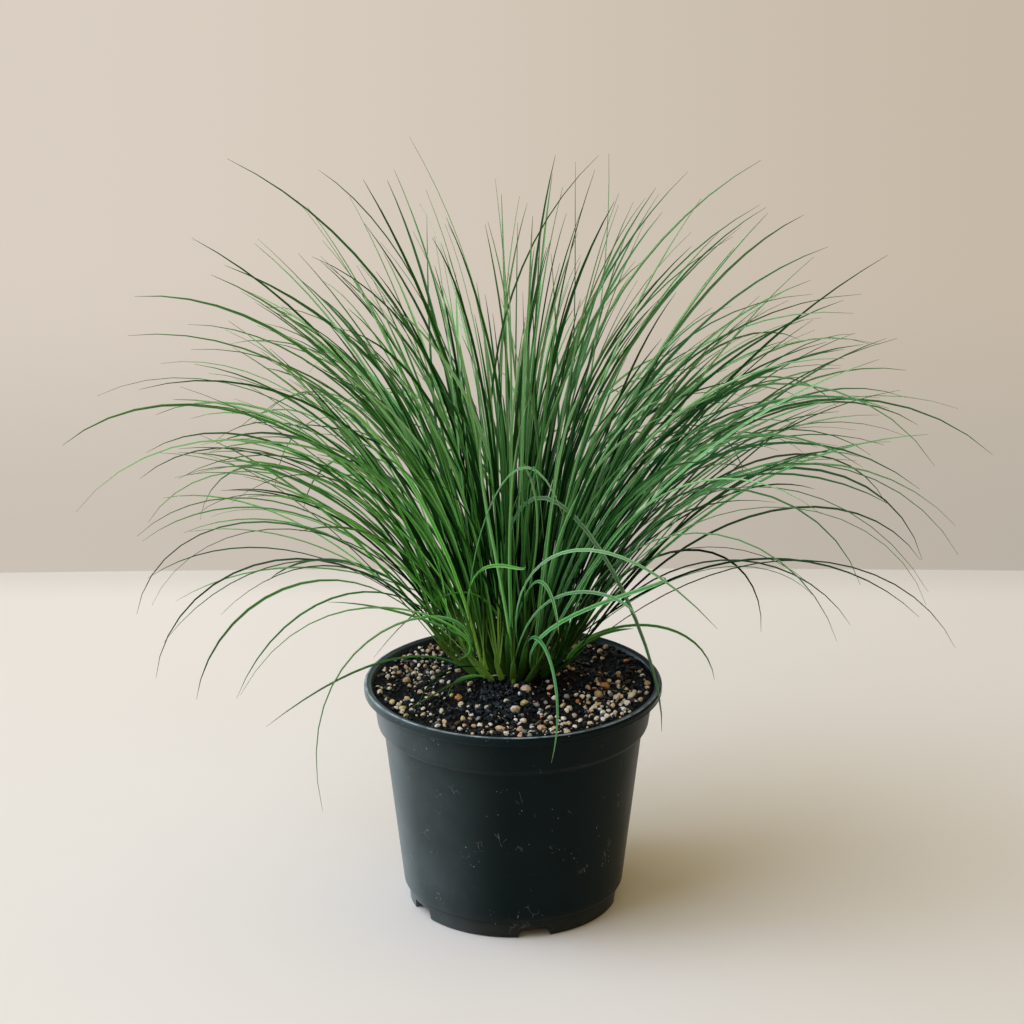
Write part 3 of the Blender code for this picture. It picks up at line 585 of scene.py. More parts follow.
def dry_finish(name, dark, light):
    """Dead, papery or woody plant stuff, streaked along its fibres."""
    material, tree = new_finish(name, Specular_IOR_Level=0.3)
    streak = cloudy(tree, stretched(tree, object_place(tree), (1.0, 1.0, 0.25)), 700.0, 4.0, 0.65)
    old = product(tree, attribute(tree, "tone"), 0.5)
    colour = blended(tree, old, blended(tree, streak, dark, light), tuple(0.5 * part for part in dark))
    gloss = ranged(tree, streak, 0.3, 0.7, 0.6, 0.9)
    return finished(material, Base_Color=colour, Roughness=gloss, Normal=raised(tree, streak, 0.0003))


# ---------------------------------------------------------------- pieces


def as_mesh(name, shape):
    """A bmesh made a mesh."""
    mesh = bpy.data.meshes.new(name)
    shape.to_mesh(mesh)
    shape.free()
    return mesh


def in_scene(name, data):
    """A new object in the scene, made of a mesh, a light or a camera."""
    made = bpy.data.objects.new(name, data)
    SCENE.collection.objects.link(made)
    return made


def add_piece(name, shape, material, sharp):
    """Makes a bmesh a piece that rides on the object's one body. Edges sharper than the angle stay hard."""
    bmesh.ops.recalc_face_normals(shape, faces=shape.faces)
    mesh = as_mesh(name, shape)
    mesh.materials.append(material)
    mesh.shade_smooth()
    mesh.set_sharp_from_angle(angle=math.radians(sharp))
    piece = in_scene(name, mesh)
    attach(piece, "root")
    return piece


def store(piece, name, values):
    """Keeps a number for each corner point of a piece, given in parts, which its finish reads."""
    numbers = np.asarray(np.concatenate(values), np.float32)
    piece.data.attributes.new(name, "FLOAT", "POINT").data.foreach_set("value", numbers)


def put_points(shape, parts):
    """Moves a bmesh's corner points to the places that are given in parts, in the same order."""
    for corner, place in zip(shape.verts, np.concatenate(parts)):
        corner.co = place


def spun(outline, steps):
    """A closed solid turned round Z from (radius, height) points that start and end on the axis."""
    shape = bmesh.new()
    corners = [shape.verts.new((radius, 0.0, height)) for radius, height in outline]
    edges = [shape.edges.new(pair) for pair in zip(corners, corners[1:])]
    full_turn = {"axis": (0, 0, 1), "cent": (0, 0, 0), "angle": math.tau, "use_merge": True}
    bmesh.ops.spin(shape, geom=corners + edges, steps=steps, **full_turn)
    bmesh.ops.remove_doubles(shape, verts=shape.verts, dist=0.000001)
    bmesh.ops.recalc_face_normals(shape, faces=shape.faces)
    return shape


# ---------------------------------------------------------------- pot


def pot_outline():
    """Radius and height, from the middle of the floor up the inside, over the rim and down to the foot."""
    lip_bottom = POT_HEIGHT - LIP_DEPTH
    inner_foot = FOOT_RADIUS - FOOT_WALL
    # At each corner: its radius and height, then the points that round it, as steps from there in mm.
    corners = (
        (0.0, FLOOR_TOP, ((0, 0),)),
        (LEDGE_RADIUS - WALL, FLOOR_TOP, ((-1.5, 0),)),
        (LEDGE_RADIUS - WALL, LEDGE_HEIGHT, ((0, 0.8),)),
        (BODY_TOP_RADIUS - WALL, COLLAR_BOTTOM, ((0, -2.2),)),
        (COLLAR_BOTTOM_RADIUS - WALL, COLLAR_BOTTOM, ((-0.6, 1.2),)),
        (COLLAR_TOP_RADIUS - WALL, lip_bottom, ((0, -0.4),)),
        (RIM_INNER_RADIUS, lip_bottom, ((-0.6, 0.5),)),
        (RIM_INNER_RADIUS, POT_HEIGHT, ((0, -1.2), (0.5, -0.5), (1.6, -0.45))),
        (RIM_RADIUS, POT_HEIGHT, ((-1.55, -0.1), (-1.15, 0), (-0.6, -0.2), (-0.15, -0.8), (0, -1.7))),
        (RIM_RADIUS, lip_bottom, ((-0.25, 0.5), (-0.1, 0.2), (-0.5, -0.2), (-1.4, 0))),
        (COLLAR_TOP_RADIUS, lip_bottom, ((0.3, -0.3), (0, -1.0))),
        (COLLAR_BOTTOM_RADIUS, COLLAR_BOTTOM, ((0, 2.0), (-0.35, 0.9), (-1.1, 0.1))),
        (BODY_TOP_RADIUS, COLLAR_BOTTOM, ((0.7, -0.4), (0.05, -1.3))),
        (LEDGE_RADIUS, LEDGE_HEIGHT, ((0.05, 0.4), (-0.25, -0.2))),
        (FOOT_RADIUS, LEDGE_HEIGHT, ((0.9, -0.5), (0.5, -1.1))),
        (FOOT_RADIUS, 0.0, ((0, 0.5), (-0.4, 0))),
        (inner_foot, 0.0, ((0.4, 0), (0, 0.4))),
        (inner_foot, FLOOR_BOTTOM, ((-0.2, -0.5), (-0.8, 0))),
        (0.0, FLOOR_BOTTOM, ((0, 0),)),
    )
    return supported([
        (radius + out * MM, height + up * MM) for radius, height, steps in corners for out, up in steps
    ])


def supported(outline):
    """The outline with a point near both ends of each long run, so that its shading stays flat."""
    kept = outline[:1]
    for (radius, height), (next_radius, next_height) in zip(outline, outline[1:]):
        length = math.hypot(next_radius - radius, next_height - height)
        if length > 6 * MM and radius > 0 and next_radius > 0:
            for share in (0.8 * MM / length, 1 - 0.8 * MM / length):
                across, up = (next_radius - radius) * share, (next_height - height) * share
                kept.append((radius + across, height + up))
        kept.append((next_radius, next_height))
    return kept


def bevelled(shape, edges, offset, segments):
    bmesh.ops.bevel(
        shape, geom=edges, offset=offset, segments=segments, profile=0.5, affect="EDGES", material=-1
    )


def notch_block(turn):
    """A block across the foot ring, narrower at its rounded top, that leaves one drainage notch."""
    shape = bmesh.new()
    bmesh.ops.create_cube(shape, size=1.0)
    for corner in shape.verts:
        width = NOTCH_WIDTH * (0.84 if corner.co.z > 0 else 1.08)
        corner.co *= Vector((NOTCH_DEPTH, width, 2 * NOTCH_HEIGHT))
    long_edges = [
        edge
        for edge in shape.edges
        if all(corner.co.z > 0 for corner in edge.verts)
        and abs(edge.verts[0].co.y - edge.verts[1].co.y) < MM
    ]
    bevelled(shape, long_edges, 1.2 * MM, 5)
    place = Matrix.Rotation(turn, 4, "Z") @ Matrix.Translation((FOOT_RADIUS, 0, 0))
    bmesh.ops.transform(shape, verts=shape.verts, matrix=place)
    return shape


def drain_rod(turn):
    """A rod through the floor that leaves one drainage hole."""
    shape = bmesh.new()
    ends = {"radius1": DRAIN_RADIUS, "radius2": DRAIN_RADIUS, "depth": 6 * MM}
    bmesh.ops.create_cone(shape, cap_ends=True, segments=DRAIN_STEPS, **ends)
    place = Matrix.Rotation(turn, 4, "Z") @ Matrix.Translation((DRAIN_RING, 0, FLOOR_TOP))
    bmesh.ops.transform(shape, verts=shape.verts, matrix=place)
    return shape


def make_pot():
    """The pot's turned shell, with its five notches and five drainage holes cut out."""
    shell = in_scene("pot_shell", as_mesh("pot_shell", spun(pot_outline(), POT_STEPS)))
    cutters = bmesh.new()
    for k in range(NOTCH_COUNT):
        turn = NOTCH_FIRST + k * math.tau / NOTCH_COUNT
        for part in (notch_block(turn), drain_rod(turn)):
            cutters.from_mesh(as_mesh("cutter", part))
    bmesh.ops.recalc_face_normals(cutters, faces=cutters.faces)
    cutter = in_scene("cutters", as_mesh("cutters", cutters))
    cut = shell.modifiers.new("Cut", "BOOLEAN")
    cut.operation = "DIFFERENCE"
    cut.object = cutter
    bpy.context.view_layer.update()
    evaluated = shell.evaluated_get(bpy.context.evaluated_depsgraph_get())
    shape = bmesh.new()
    shape.from_mesh(bpy.data.meshes.new_from_object(evaluated))
    bpy.data.objects.remove(cutter)
    bpy.data.objects.remove(shell)
    piece = add_piece("nursery_pot", shape, plastic_finish(), sharp=32)
    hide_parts("pot")


# ---------------------------------------------------------------- potting mix


def eased(share):
    """A share held between 0 and 1, which starts and ends gently."""
    share = min(max(share, 0.0), 1.0)
    return share * share * (3 - 2 * share)


def dome(x, y, centre_x, centre_y, radius):
    """A round rise: 1 at its centre and 0 from its radius on."""
    return 1 - eased(math.hypot(x - centre_x, y - centre_y) / radius)


def from_crown(x, y, margin):
    """How far out a place lies from the crown's centre. At 1 it is this margin outside the crown."""
    across = (x - CROWN_X) / (CROWN_HALF_WIDTH + margin)
    along = (y - CROWN_Y) / (CROWN_HALF_DEPTH + margin)
    return math.hypot(across, along)


def mix_height(x, y):
    """Height of the mix's surface: flat under the crown, then a mound that runs out into low lumps."""
    off_crown = eased((from_crown(x, y, CROWN_MARGIN) - 1) / MOUND_SPREAD)
    lump = noise.noise(Vector((x, y, 0.0)) / LUMP_SIZE) * LUMP_HEIGHT
    level = MIX_LEVEL + lump
    level += HEAP_RISE * dome(x, y, HEAP_X, HEAP_Y, HEAP_RADIUS)
    level -= HOLLOW_DEPTH * dome(x, y, HOLLOW_X, HOLLOW_Y, HOLLOW_RADIUS)
    return CROWN_TOP + (level - CROWN_TOP) * off_crown


def surface_height(x, y):
    """The seen surface of the mix, which rises at its edge to meet the rim."""
    edge = eased((math.hypot(x, y) - 54 * MM) / (10 * MM))
    height = mix_height(x, y) + EDGE_RISE * edge
    return height + max(0.0, MIX_EDGE_LEAST - height) * edge


def crumbly_height(x, y):
    """The mix's surface with its fine crumbs and pits."""
    fine = noise.fractal(Vector((x, y, 0.0)) / CRUMB_SIZE, 0.7, 2.1, 4) * CRUMB_HEIGHT
    return surface_height(x, y) + fine - 0.2 * MM


def make_mix():
    """The body of potting mix, finely displaced on top."""
    outline = [(MIX_EDGE_RADIUS * k / MIX_RINGS, CROWN_TOP) for k in range(MIX_RINGS + 1)]
    outline += [
        (MIX_EDGE_RADIUS - 0.4 * MM, MIX_LEVEL + 0.4 * MM),
        (COLLAR_TOP_RADIUS - WALL - 0.5 * MM, MIX_LEVEL - 1.6 * MM),
        (COLLAR_BOTTOM_RADIUS - WALL - 1.2 * MM, COLLAR_BOTTOM + 1.0 * MM),
        (BODY_TOP_RADIUS - WALL - 0.9 * MM, COLLAR_BOTTOM - 3.2 * MM),
        (LEDGE_RADIUS - WALL - 0.6 * MM, LEDGE_HEIGHT + 1.2 * MM),
        (LEDGE_RADIUS - WALL - 2.4 * MM, FLOOR_TOP + GAP),
        (0.0, FLOOR_TOP + GAP),
    ]
    shape = spun(outline, MIX_STEPS)
    for corner in shape.verts:
        if corner.co.z > CROWN_TOP - 0.01 * MM:
            corner.co.z = crumbly_height(corner.co.x, corner.co.y)
    piece = add_piece("potting_mix_body", shape, mix_finish(), sharp=180)
    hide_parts("potting_mix")


# ---------------------------------------------------------------- grains on the mix


def stone_shape(chance, faces="cube"):
    """One small angular grain of unit size, of a few dozen faces."""
    shape = bmesh.new()
    if faces == "cube":
        bmesh.ops.create_cube(shape, size=0.8)
        bevelled(shape, shape.edges[:], 0.22, 1)
    else:
        bmesh.ops.create_icosphere(shape, subdivisions=1, radius=0.5)
    turn = Matrix.Rotation(chance.uniform(0, math.tau), 4, "Z")
    slant = Matrix.Rotation(chance.uniform(0, 3), 4, "X")
    bmesh.ops.transform(shape, verts=shape.verts, matrix=turn @ slant)
    seed = Vector((chance.uniform(0, 90), chance.uniform(0, 90), 0))
    for corner in shape.verts:
        corner.co *= 1 + 0.34 * noise.noise(corner.co * 2.1 + seed)
    return shape


def template(shape):
    """A shape to be repeated, as a mesh and its points as an array."""
    mesh = as_mesh("template", shape)
    return mesh, np.array([corner.co for corner in mesh.vertices])


def scattered(name, kinds, places, material):
    """One piece of many grains. A place is (kind's number, 4x4 matrix, tone)."""
    shape = bmesh.new()
    points, tones = [], []
    for kind, matrix, tone in places:
        mesh, corners = kinds[kind]
        shape.from_mesh(mesh)
        spot = np.array(matrix)
        points.append(corners @ spot[:3, :3].T + spot[:3, 3])
        tones.append(np.full(len(corners), tone))
    put_points(shape, points)
    store(add_piece(name, shape, material, sharp=35), "tone", tones)


def lying(x, y, size, chance, sunk=0.3, flat=(0.55, 0.85)):
    """A matrix that sets a grain of this size on the mix, turned at random and a little sunk."""
    shape = Matrix.Diagonal((size, size * chance.uniform(0.7, 0.95), size * chance.uniform(*flat), 1))
    turn = Matrix.Rotation(chance.uniform(0, math.tau), 4, "Z")
    tilt = Matrix.Rotation(chance.gauss(0, 0.35), 4, "X") @ Matrix.Rotation(chance.gauss(0, 0.35), 4, "Y")
    height = surface_height(x, y) + size * (0.5 - sunk) * 0.7
    return Matrix.Translation((x, y, height)) @ tilt @ turn @ shape


def random_spot(chance, most):
    """A place at random within this distance of the pot's axis."""
    while True:
        x, y = chance.uniform(-most, most), chance.uniform(-most, most)
        if math.hypot(x, y) < most:
            return x, y


def grit_share(x, y):
    """How thickly the grit lies: in clusters on its beds, and little on the heap and in the hollow."""
    share = 0.16
    for bed_x, bed_y, radius, most in GRIT_BEDS:
        share = max(share, most * min(1, 1.6 * dome(x, y, bed_x * MM, bed_y * MM, radius * MM)))
    share *= 1 - 0.9 * dome(x, y, HEAP_X - 6 * MM, HEAP_Y + 4 * MM, 22 * MM)
    share *= 1 - 0.92 * dome(x, y, HOLLOW_X, HOLLOW_Y, 30 * MM)
    return share * eased((noise.noise(Vector((x, y, 0.02)) / (6 * MM)) + 0.45) / 0.5)


def make_grit():
    """The grit that stands out, then coarse and fine grit that lies clear of it. Each kind is one piece."""
    chance = random.Random(GRIT_SEED)
    kinds = [template(stone_shape(chance)) for _ in range(10)]
    stones = [(*(number * MM for number in row), kind) for kind, rows in NAMED_GRIT.items() for row in rows]
    for attempt in range(GRIT_TRIES):
        x, y = random_spot(chance, GRIT_REACH)
        if attempt < COARSE_GRIT_TRIES:
            size = (1.5 + 2.1 * chance.random() ** 1.5) * MM
        else:
            size = chance.uniform(0.7, 1.4) * MM
        clear = all(math.hypot(x - a, y - b) > 0.43 * (size + c) for a, b, c, _ in stones)
        if from_crown(x, y, 1.5 * MM) < 1 or chance.random() > 0.7 * grit_share(x, y) or not clear:
            continue
        stones.append((x, y, size, chance.choices(list(GRIT_COLOURS), GRIT_WEIGHTS)[0]))
    for kind in GRIT_COLOURS:
        places = [
            (chance.randrange(len(kinds)), lying(x, y, size, chance), chance.random())
            for x, y, size, own in stones
            if own == kind
        ]
        scattered(f"{kind}_grit", kinds, places, grit_finish(kind))


def make_crumbs():
    """Granules of peat all over the mix, thickest on the heap in front and up against the crown."""
    chance = random.Random(CRUMB_SEED)
    kinds = [template(stone_shape(chance, "ball")) for _ in range(8)]
    places = []
    for _ in range(CRUMB_TRIES):
        x, y = random_spot(chance, CRUMB_REACH)
        heap = dome(x, y, HEAP_X, HEAP_Y, 26 * MM)
        if chance.random() > 0.45 + 0.75 * heap:
            continue
        size = (0.9 + 1.5 * chance.random() ** 1.6 + 1.5 * heap * chance.random()) * MM
        tone = chance.random() * (1 - 0.6 * heap)
        number = chance.randrange(len(kinds))
        places.append((number, lying(x, y, size, chance, 0.2, (0.7, 1.0)), tone))
    scattered("peat_granules", kinds, places, crumb_finish())


def make_bark():
    """Flat bits of brown bark, mostly in the hollow behind at the right."""
    chance = random.Random(BARK_SEED)
    kinds = [template(stone_shape(chance)) for _ in range(5)]
    places = []
    for _ in range(BARK_TRIES):
        x, y = random_spot(chance, BARK_REACH)
        if from_crown(x, y, 2 * MM) < 1:
            continue
        if chance.random() > 0.12 + 0.7 * dome(x, y, HOLLOW_X, HOLLOW_Y, 34 * MM):
            continue
        size = chance.uniform(1.8, 5.0) * MM
        place = lying(x, y, size, chance, 0.25, (0.18, 0.32)) @ Matrix.Diagonal((1.3, 0.55, 1, 1))
        places.append((chance.randrange(len(kinds)), place, chance.random()))
    finish = dry_finish("bark", (0.022, 0.013, 0.007), (0.15, 0.090, 0.048))
    scattered("bark_bits", kinds, places, finish)


# ---------------------------------------------------------------- leaves: the rule of the solids


def arch(root, tip, bend, sway, count):
    """Points of a leaf from root to tip. It leans more and more on the way, by the bend in all."""
    aim = np.asarray(tip) - np.asarray(root)
    reach = math.hypot(aim[0], aim[1])
    ahead = np.array((aim[0], aim[1], 0.0)) / reach
    aside = np.array((-ahead[1], ahead[0], 0.0))
    share = np.linspace(0, 1, count)
    fine = np.linspace(0, 1, 12 * (count - 1) + 1)
    lean = bend * ((fine[1:] + fine[:-1]) / 2) ** 1.6
    out = np.concatenate(((0.0,), np.cumsum(np.sin(lean))))[::12]
    up = np.concatenate(((0.0,), np.cumsum(np.cos(lean))))[::12]
    turn = math.atan2(reach, aim[2]) - math.atan2(out[-1], up[-1])
    size = math.hypot(reach, aim[2]) / math.hypot(out[-1], up[-1])
    far = size * (out * math.cos(turn) + up * math.sin(turn))
    high = size * (up * math.cos(turn) - out * math.sin(turn))
    side = sway * np.sin(math.pi * share)
    points = np.outer(far, ahead) + np.outer(side, aside) + np.asarray(root)
    points[:, 2] += high
    return points


def swept(root, guides, tip, count):
    """Points of a leaf that leaves its root towards the first guide and reaches its tip from the second."""
    share = np.linspace(0, 1, count)[:, None]
    left = 1 - share
    return root * left**3 + 3 * guides[0] * share * left**2 + 3 * guides[1] * share**2 * left + tip * share**3


def leaf_path(leaf, count):
    """Points of either kind of leaf."""
    if "guides" in leaf:
        return swept(leaf["root"], leaf["guides"], leaf["tip"], count)
    return arch(leaf["root"], leaf["tip"], leaf["bend"], leaf["sway"], count)


def leaf_steps(bend):
    """A leaf that bends more has more straight pieces."""
    return 3 + round(abs(bend) / math.radians(36))


def half_widths(count):
    """A leaf is widest in its lower third and tapers to a point."""
    share = np.linspace(0, 1, count)
    return LEAF_TIP_HALF_WIDTH + (LEAF_HALF_WIDTH - LEAF_TIP_HALF_WIDTH) * (1 - share**1.7)


def usual_bend(lean):
    """Leaves that lean further arch over more, in radians."""
    return math.radians(20 + 78 * (math.degrees(lean) / 60) ** 1.2)


def lean_and_turn(aim):
    """A direction's angle from upright and its angle round the pot."""
    return math.atan2(math.hypot(aim[0], aim[1]), aim[2]), math.atan2(aim[1], aim[0])


def reaching(lean, turn, length=1.0):
    """The way from a root to a tip this far off, from its two angles."""
    level = math.sin(lean) * length
    return np.array((level * math.cos(turn), level * math.sin(turn), math.cos(lean) * length))


def shoot_rule(index):
    """Share of the way out of the crown, turn, foot, sheath direction and sheath length of one shoot."""
    share = math.sqrt((index + 0.5) / SHOOT_COUNT)
    turn = index * GOLDEN_TURN
    foot = np.array((
        CROWN_X + CROWN_HALF_WIDTH * share * math.cos(turn),
        CROWN_Y + CROWN_HALF_DEPTH * share * math.sin(turn),
        CROWN_TOP + GAP,
    ))
    axis = reaching(SHEATH_LEAN * share**1.2, turn)
    length = random.Random(index).uniform(*SHEATH_LENGTH_MM) * MM
    return {"share": share, "turn": turn, "foot": foot, "axis": axis, "length": length}


def sampled(body):
    """Points along a body, close together, with the body's radius at each."""
    points, radii = body
    places, sizes = [], []
    for k in range(len(points) - 1):
        count = max(2, math.ceil(np.linalg.norm(points[k + 1] - points[k]) / SAMPLE_SPACING))
        share = np.linspace(0, 1, count, endpoint=False)[:, None]
        places.append(points[k] + (points[k + 1] - points[k]) * share)
        sizes.append(radii[k] + (radii[k + 1] - radii[k]) * share[:, 0])
    return np.concatenate(places + [points[-1:]]), np.concatenate(sizes + [radii[-1:]])


def sheath_body(shoot):
    """A body is a path's points and its radius at each."""
    ends = np.array((shoot["foot"], shoot["foot"] + shoot["axis"] * shoot["length"]))
    return ends, np.array((SHEATH_FOOT_RADIUS, SHEATH_TOP_RADIUS))


def clear_of(body, others):
    """True where no sample point of the body comes too close to a straight piece of the others."""
    places, sizes = sampled(body)
    start = np.concatenate([points[:-1] for points, _ in others])
    run = np.concatenate([np.diff(points, axis=0) for points, _ in others])
    radius = np.concatenate([radii[:-1] for _, radii in others])
    growth = np.concatenate([np.diff(radii) for _, radii in others])
    along = ((places[:, None] - start) * run).sum(axis=2) / (run * run).sum(axis=1)
    along = np.clip(along, 0, 1)
    apart = np.linalg.norm(places[:, None] - start - along[..., None] * run, axis=2)
    return bool((apart > sizes[:, None] + radius + growth * along + LEAF_CLEARANCE).all())


def clear_of_pot(body):
    """A leaf goes over the rim or hangs outside it, and stays above the mix."""
    points, radii = sampled(body)
    from_axis = np.hypot(points[:, 0], points[:, 1])
    above = points[:, 2] > POT_HEIGHT + 2 * LEAF_HALF_WIDTH
    outside = from_axis > RIM_RADIUS + 2 * LEAF_HALF_WIDTH
    ground = np.array([mix_height(x, y) for x, y in points[:, :2]])
    inside = (from_axis < RIM_INNER_RADIUS - 3 * MM) & (points[:, 2] > ground + radii + 0.6 * MM)
    return bool((above | outside | inside)[3:].all())


def wished_leaves():
    """The long leaves in the order that they are placed, as (tip, bend)."""
    rows = LEFT_LEAVES + RIGHT_LEAVES + TOP_LEAVES + FRONT_LEAVES + BACK_LEAVES
    return [(np.array(row[:3]) * MM, math.radians(row[3])) for row in rows]


def shoots_by_direction(tip, shoots):
    """The shoots, nearest in direction to a tip first. A shoot with many leaves comes late."""
    lean, turn = lean_and_turn(tip - np.array((CROWN_X, CROWN_Y, CROWN_TOP)))

    def apart(index):
        shoot = shoots[index]
        own = OUTERMOST_DIRECTION * shoot["share"]
        ahead = lean * math.cos(turn) - own * math.cos(shoot["turn"])
        aside = lean * math.sin(turn) - own * math.sin(shoot["turn"])
        return math.hypot(ahead, aside) + CROWDING * max(0, len(shoot["leaves"]) - 1)

    return sorted(range(len(shoots)), key=apart)


def leaf_on(shoot, tip, bend, chance, loose):
    """One leaf from the sheath to about the tip. A larger number for loose lets it stray further."""
    start = shoot["foot"] + shoot["axis"] * shoot["length"] * chance.uniform(0.3, 0.75)
    stray = np.array([chance.gauss(0, 1) for _ in range(3)]) * loose * MM
    bend = bend + math.radians(chance.gauss(0, 1.5) * loose)
    sway = chance.gauss(0, 2.5 + loose) * MM
    return {"root": start, "tip": tip + stray, "bend": bend, "sway": sway}


def arching_leaf(shoot, row, chance, loose):
    """A leaf on its own guide points. A larger number for loose lets it stray further."""
    start = shoot["foot"] + shoot["axis"] * shoot["length"] * row[1]
    first, second, tip = (
        (np.array(place) + [chance.gauss(0, 1) * loose for _ in range(3)]) * MM for place in row[2:]
    )
    return {"root": start, "guides": (first, second), "tip": tip, "bend": ARCHING_BEND}


def held_lean(shoot, degrees):
    """A leaf's lean, which is steeper at the front and never more than the most."""
    front = max(0.0, -math.sin(shoot["turn"]))
    return min(abs(math.radians(degrees) * (1 - FRONT_UPRIGHT * front)), MOST_LEAN)


def usual_leaf(shoot, chance):
    """Tip and bend of a leaf of the usual length, at about its shoot's own lean."""
    lean = held_lean(shoot, 6 + 64 * shoot["share"] ** 1.1 + chance.gauss(0, 9))
    turn = shoot["turn"] + math.radians(chance.gauss(0, 13))
    length = chance.uniform(*USUAL_LENGTH) * (1 - 0.14 * lean)
    return shoot["foot"] + reaching(lean, turn, length), usual_bend(lean) * chance.uniform(0.75, 1.25)


def leaf_body(leaf):
    """A leaf's body, of straight pieces as its solid has."""
    count = leaf_steps(leaf["bend"]) + 1
    return leaf_path(leaf, count), half_widths(count)


def grass_plan():
    """Every shoot with the leaves that have a solid. No leaf touches another shoot, the pot or the mix."""
    shoots = [shoot_rule(index) for index in range(SHOOT_COUNT)]
    for shoot in shoots:
        shoot["leaves"] = []
        shoot["bodies"] = [sheath_body(shoot)]

    def grows(index, leaf):
        """Keeps the leaf if its body fits, and says whether it did."""
        body = leaf_body(leaf)
        others = [b for k, shoot in enumerate(shoots) if k != index for b in shoot["bodies"]]
        fits = clear_of_pot(body) and clear_of(body, others)
        if fits:
            shoots[index]["leaves"].append(leaf)
            shoots[index]["bodies"].append(body)
        return fits

    for number, (row, looks) in enumerate(ARCHING_LEAVES):
        chance = random.Random(ARCHING_SEED + number)
        for attempt in range(TRIES):
            leaf = arching_leaf(shoots[row[0]], row, chance, attempt * ARCHING_STRAY)
            if grows(row[0], leaf):
                leaf["looks"] = looks
                break
    for number, (tip, bend) in enumerate(wished_leaves()):
        chance = random.Random(LONG_SEED + number)
        nearest = shoots_by_direction(tip, shoots)
        for attempt in range(TRIES):
            index = nearest[attempt % NEAREST_SHOOTS]
            if grows(index, leaf_on(shoots[index], tip, bend, chance, attempt * LONG_STRAY)):
                break
    for index, shoot in enumerate(shoots):
        chance = random.Random(FILLING_SEED + index)
        for _ in range(TRIES):
            if len(shoot["leaves"]) >= LEAVES_PER_SHOOT:
                break
            grows(index, leaf_on(shoot, *usual_leaf(shoot, chance), chance, 0.0))
    return shoots


# ---------------------------------------------------------------- leaves: the fine shapes


def strip_shape(corners, rings):
    """A prism of unit radius from z 0 to z 1, with a ring of points at every step."""
    shape = bmesh.new()
    bmesh.ops.create_cone(shape, cap_ends=True, segments=corners, radius1=1, radius2=1, depth=1)
    bmesh.ops.translate(shape, verts=shape.verts, vec=(0, 0, 0.5))
    upright = [edge for edge in shape.edges if abs(edge.verts[0].co.z - edge.verts[1].co.z) > 0.5]
    bmesh.ops.subdivide_edges(shape, edges=upright, cuts=rings - 2)
    return template(shape)


def rails(points, twist):
    """Unit vectors along, across and over a path. Over is the upper side of a leaf, and twist turns it."""
    along = np.gradient(points, axis=0)
    along /= np.linalg.norm(along, axis=1)[:, None]
    aim = points[-1] - points[0]
    aside = np.array((-aim[1], aim[0], 0.0))
    aside /= max(np.linalg.norm(aside), 1e-9)
    over = np.cross(along, aside)
    over /= np.linalg.norm(over, axis=1)[:, None]
    across = np.cross(over, along)
    turn = np.cos(twist)[:, None], np.sin(twist)[:, None]
    return across * turn[0] + over * turn[1], over * turn[0] - across * turn[1]


def laid_on(strip, points, twist, widths, thicknesses, fold):
    """A strip's points laid along a path, folded up at both edges."""
    corners = strip[1]
    ring = np.rint(corners[:, 2] * (len(points) - 1)).astype(int)
    across, over = rails(points, twist)
    side, depth = corners[:, 0:1], corners[:, 1:2]
    width, thickness = widths[ring][:, None], thicknesses[ring][:, None]
    lift = np.abs(side) * fold * width + depth * thickness / 2
    return points[ring] + across[ring] * side * width + over[ring] * lift


def leaf_widths(count, half_width):
    """Narrow out of the sheath, then even, and drawn to a point over the last part."""
    share = np.linspace(0, 1, count)
    swell = 0.62 + 0.38 * np.minimum(share / 0.25, 1)
    point = np.sin(math.pi / 2 * np.minimum((1 - share) / TIP_SHARE, 1)) ** 0.66
    return np.maximum(half_width * swell * point, 0.07 * MM)


def fine_leaf(shoot, chance):
    """Tip and bend of a leaf without a solid of its own, which is freer in length and direction."""
    lean = held_lean(shoot, 5 + 62 * shoot["share"] + chance.gauss(0, 17))
    turn = shoot["turn"] + math.radians(chance.gauss(0, 32))
    turn = math.atan2(math.sin(turn), 1.2 * math.cos(turn))
    length = chance.uniform(*FINE_LENGTH) * (0.95 + 0.08 * math.cos(turn) * math.sin(lean))
    return shoot["foot"] + reaching(lean, turn, length), usual_bend(lean) * chance.uniform(0.45, 1.2)


def inside_clump(points):
    """True where a fine leaf stays in the broad dome that the clump fills. Only the long leaves leave it."""
    across = (points - np.array((CROWN_X + DOME_LEAN, CROWN_Y, CROWN_TOP))) / np.array(DOME)
    return bool((np.linalg.norm(across, ord=3, axis=1) < 1).all())


def front_view(points):
    """Where a path's points show from the front, in metres at the pot's distance, and how far off."""
    sight = CAMERA_AIM - CAMERA_PLACE
    away = points - np.array(CAMERA_PLACE)
    ahead = np.array(sight.normalized())
    over = np.array((0.0, -ahead[2], ahead[1]))
    far = away @ ahead
    return np.stack((away[:, 0], away @ over), axis=1) / far[:, None] * sight.length, far


def hides(points, arches):
    """True where a path hangs in front of an arching leaf, seen from the front."""
    places, far = front_view(points)
    arch_places, arch_far = arches
    apart = np.linalg.norm(places[:, None] - arch_places, axis=2)
    return bool(((apart < FRONT_CLEARANCE) & (far[:, None] < arch_far)).any())


def arching_places(shoots):
    """The front view of all the arching leaves, without the part at their roots."""
    leaves = [leaf for shoot in shoots for leaf in shoot["leaves"] if "looks" in leaf]
    chance = random.Random(FINE_SEED - 1)
    leaves += [arching_leaf(shoots[row[0]], row, chance, 0.0) for row, _ in FINE_ARCHES]
    return front_view(np.concatenate([leaf_path(leaf, VIEW_POINTS)[VIEW_SKIPPED:] for leaf in leaves]))


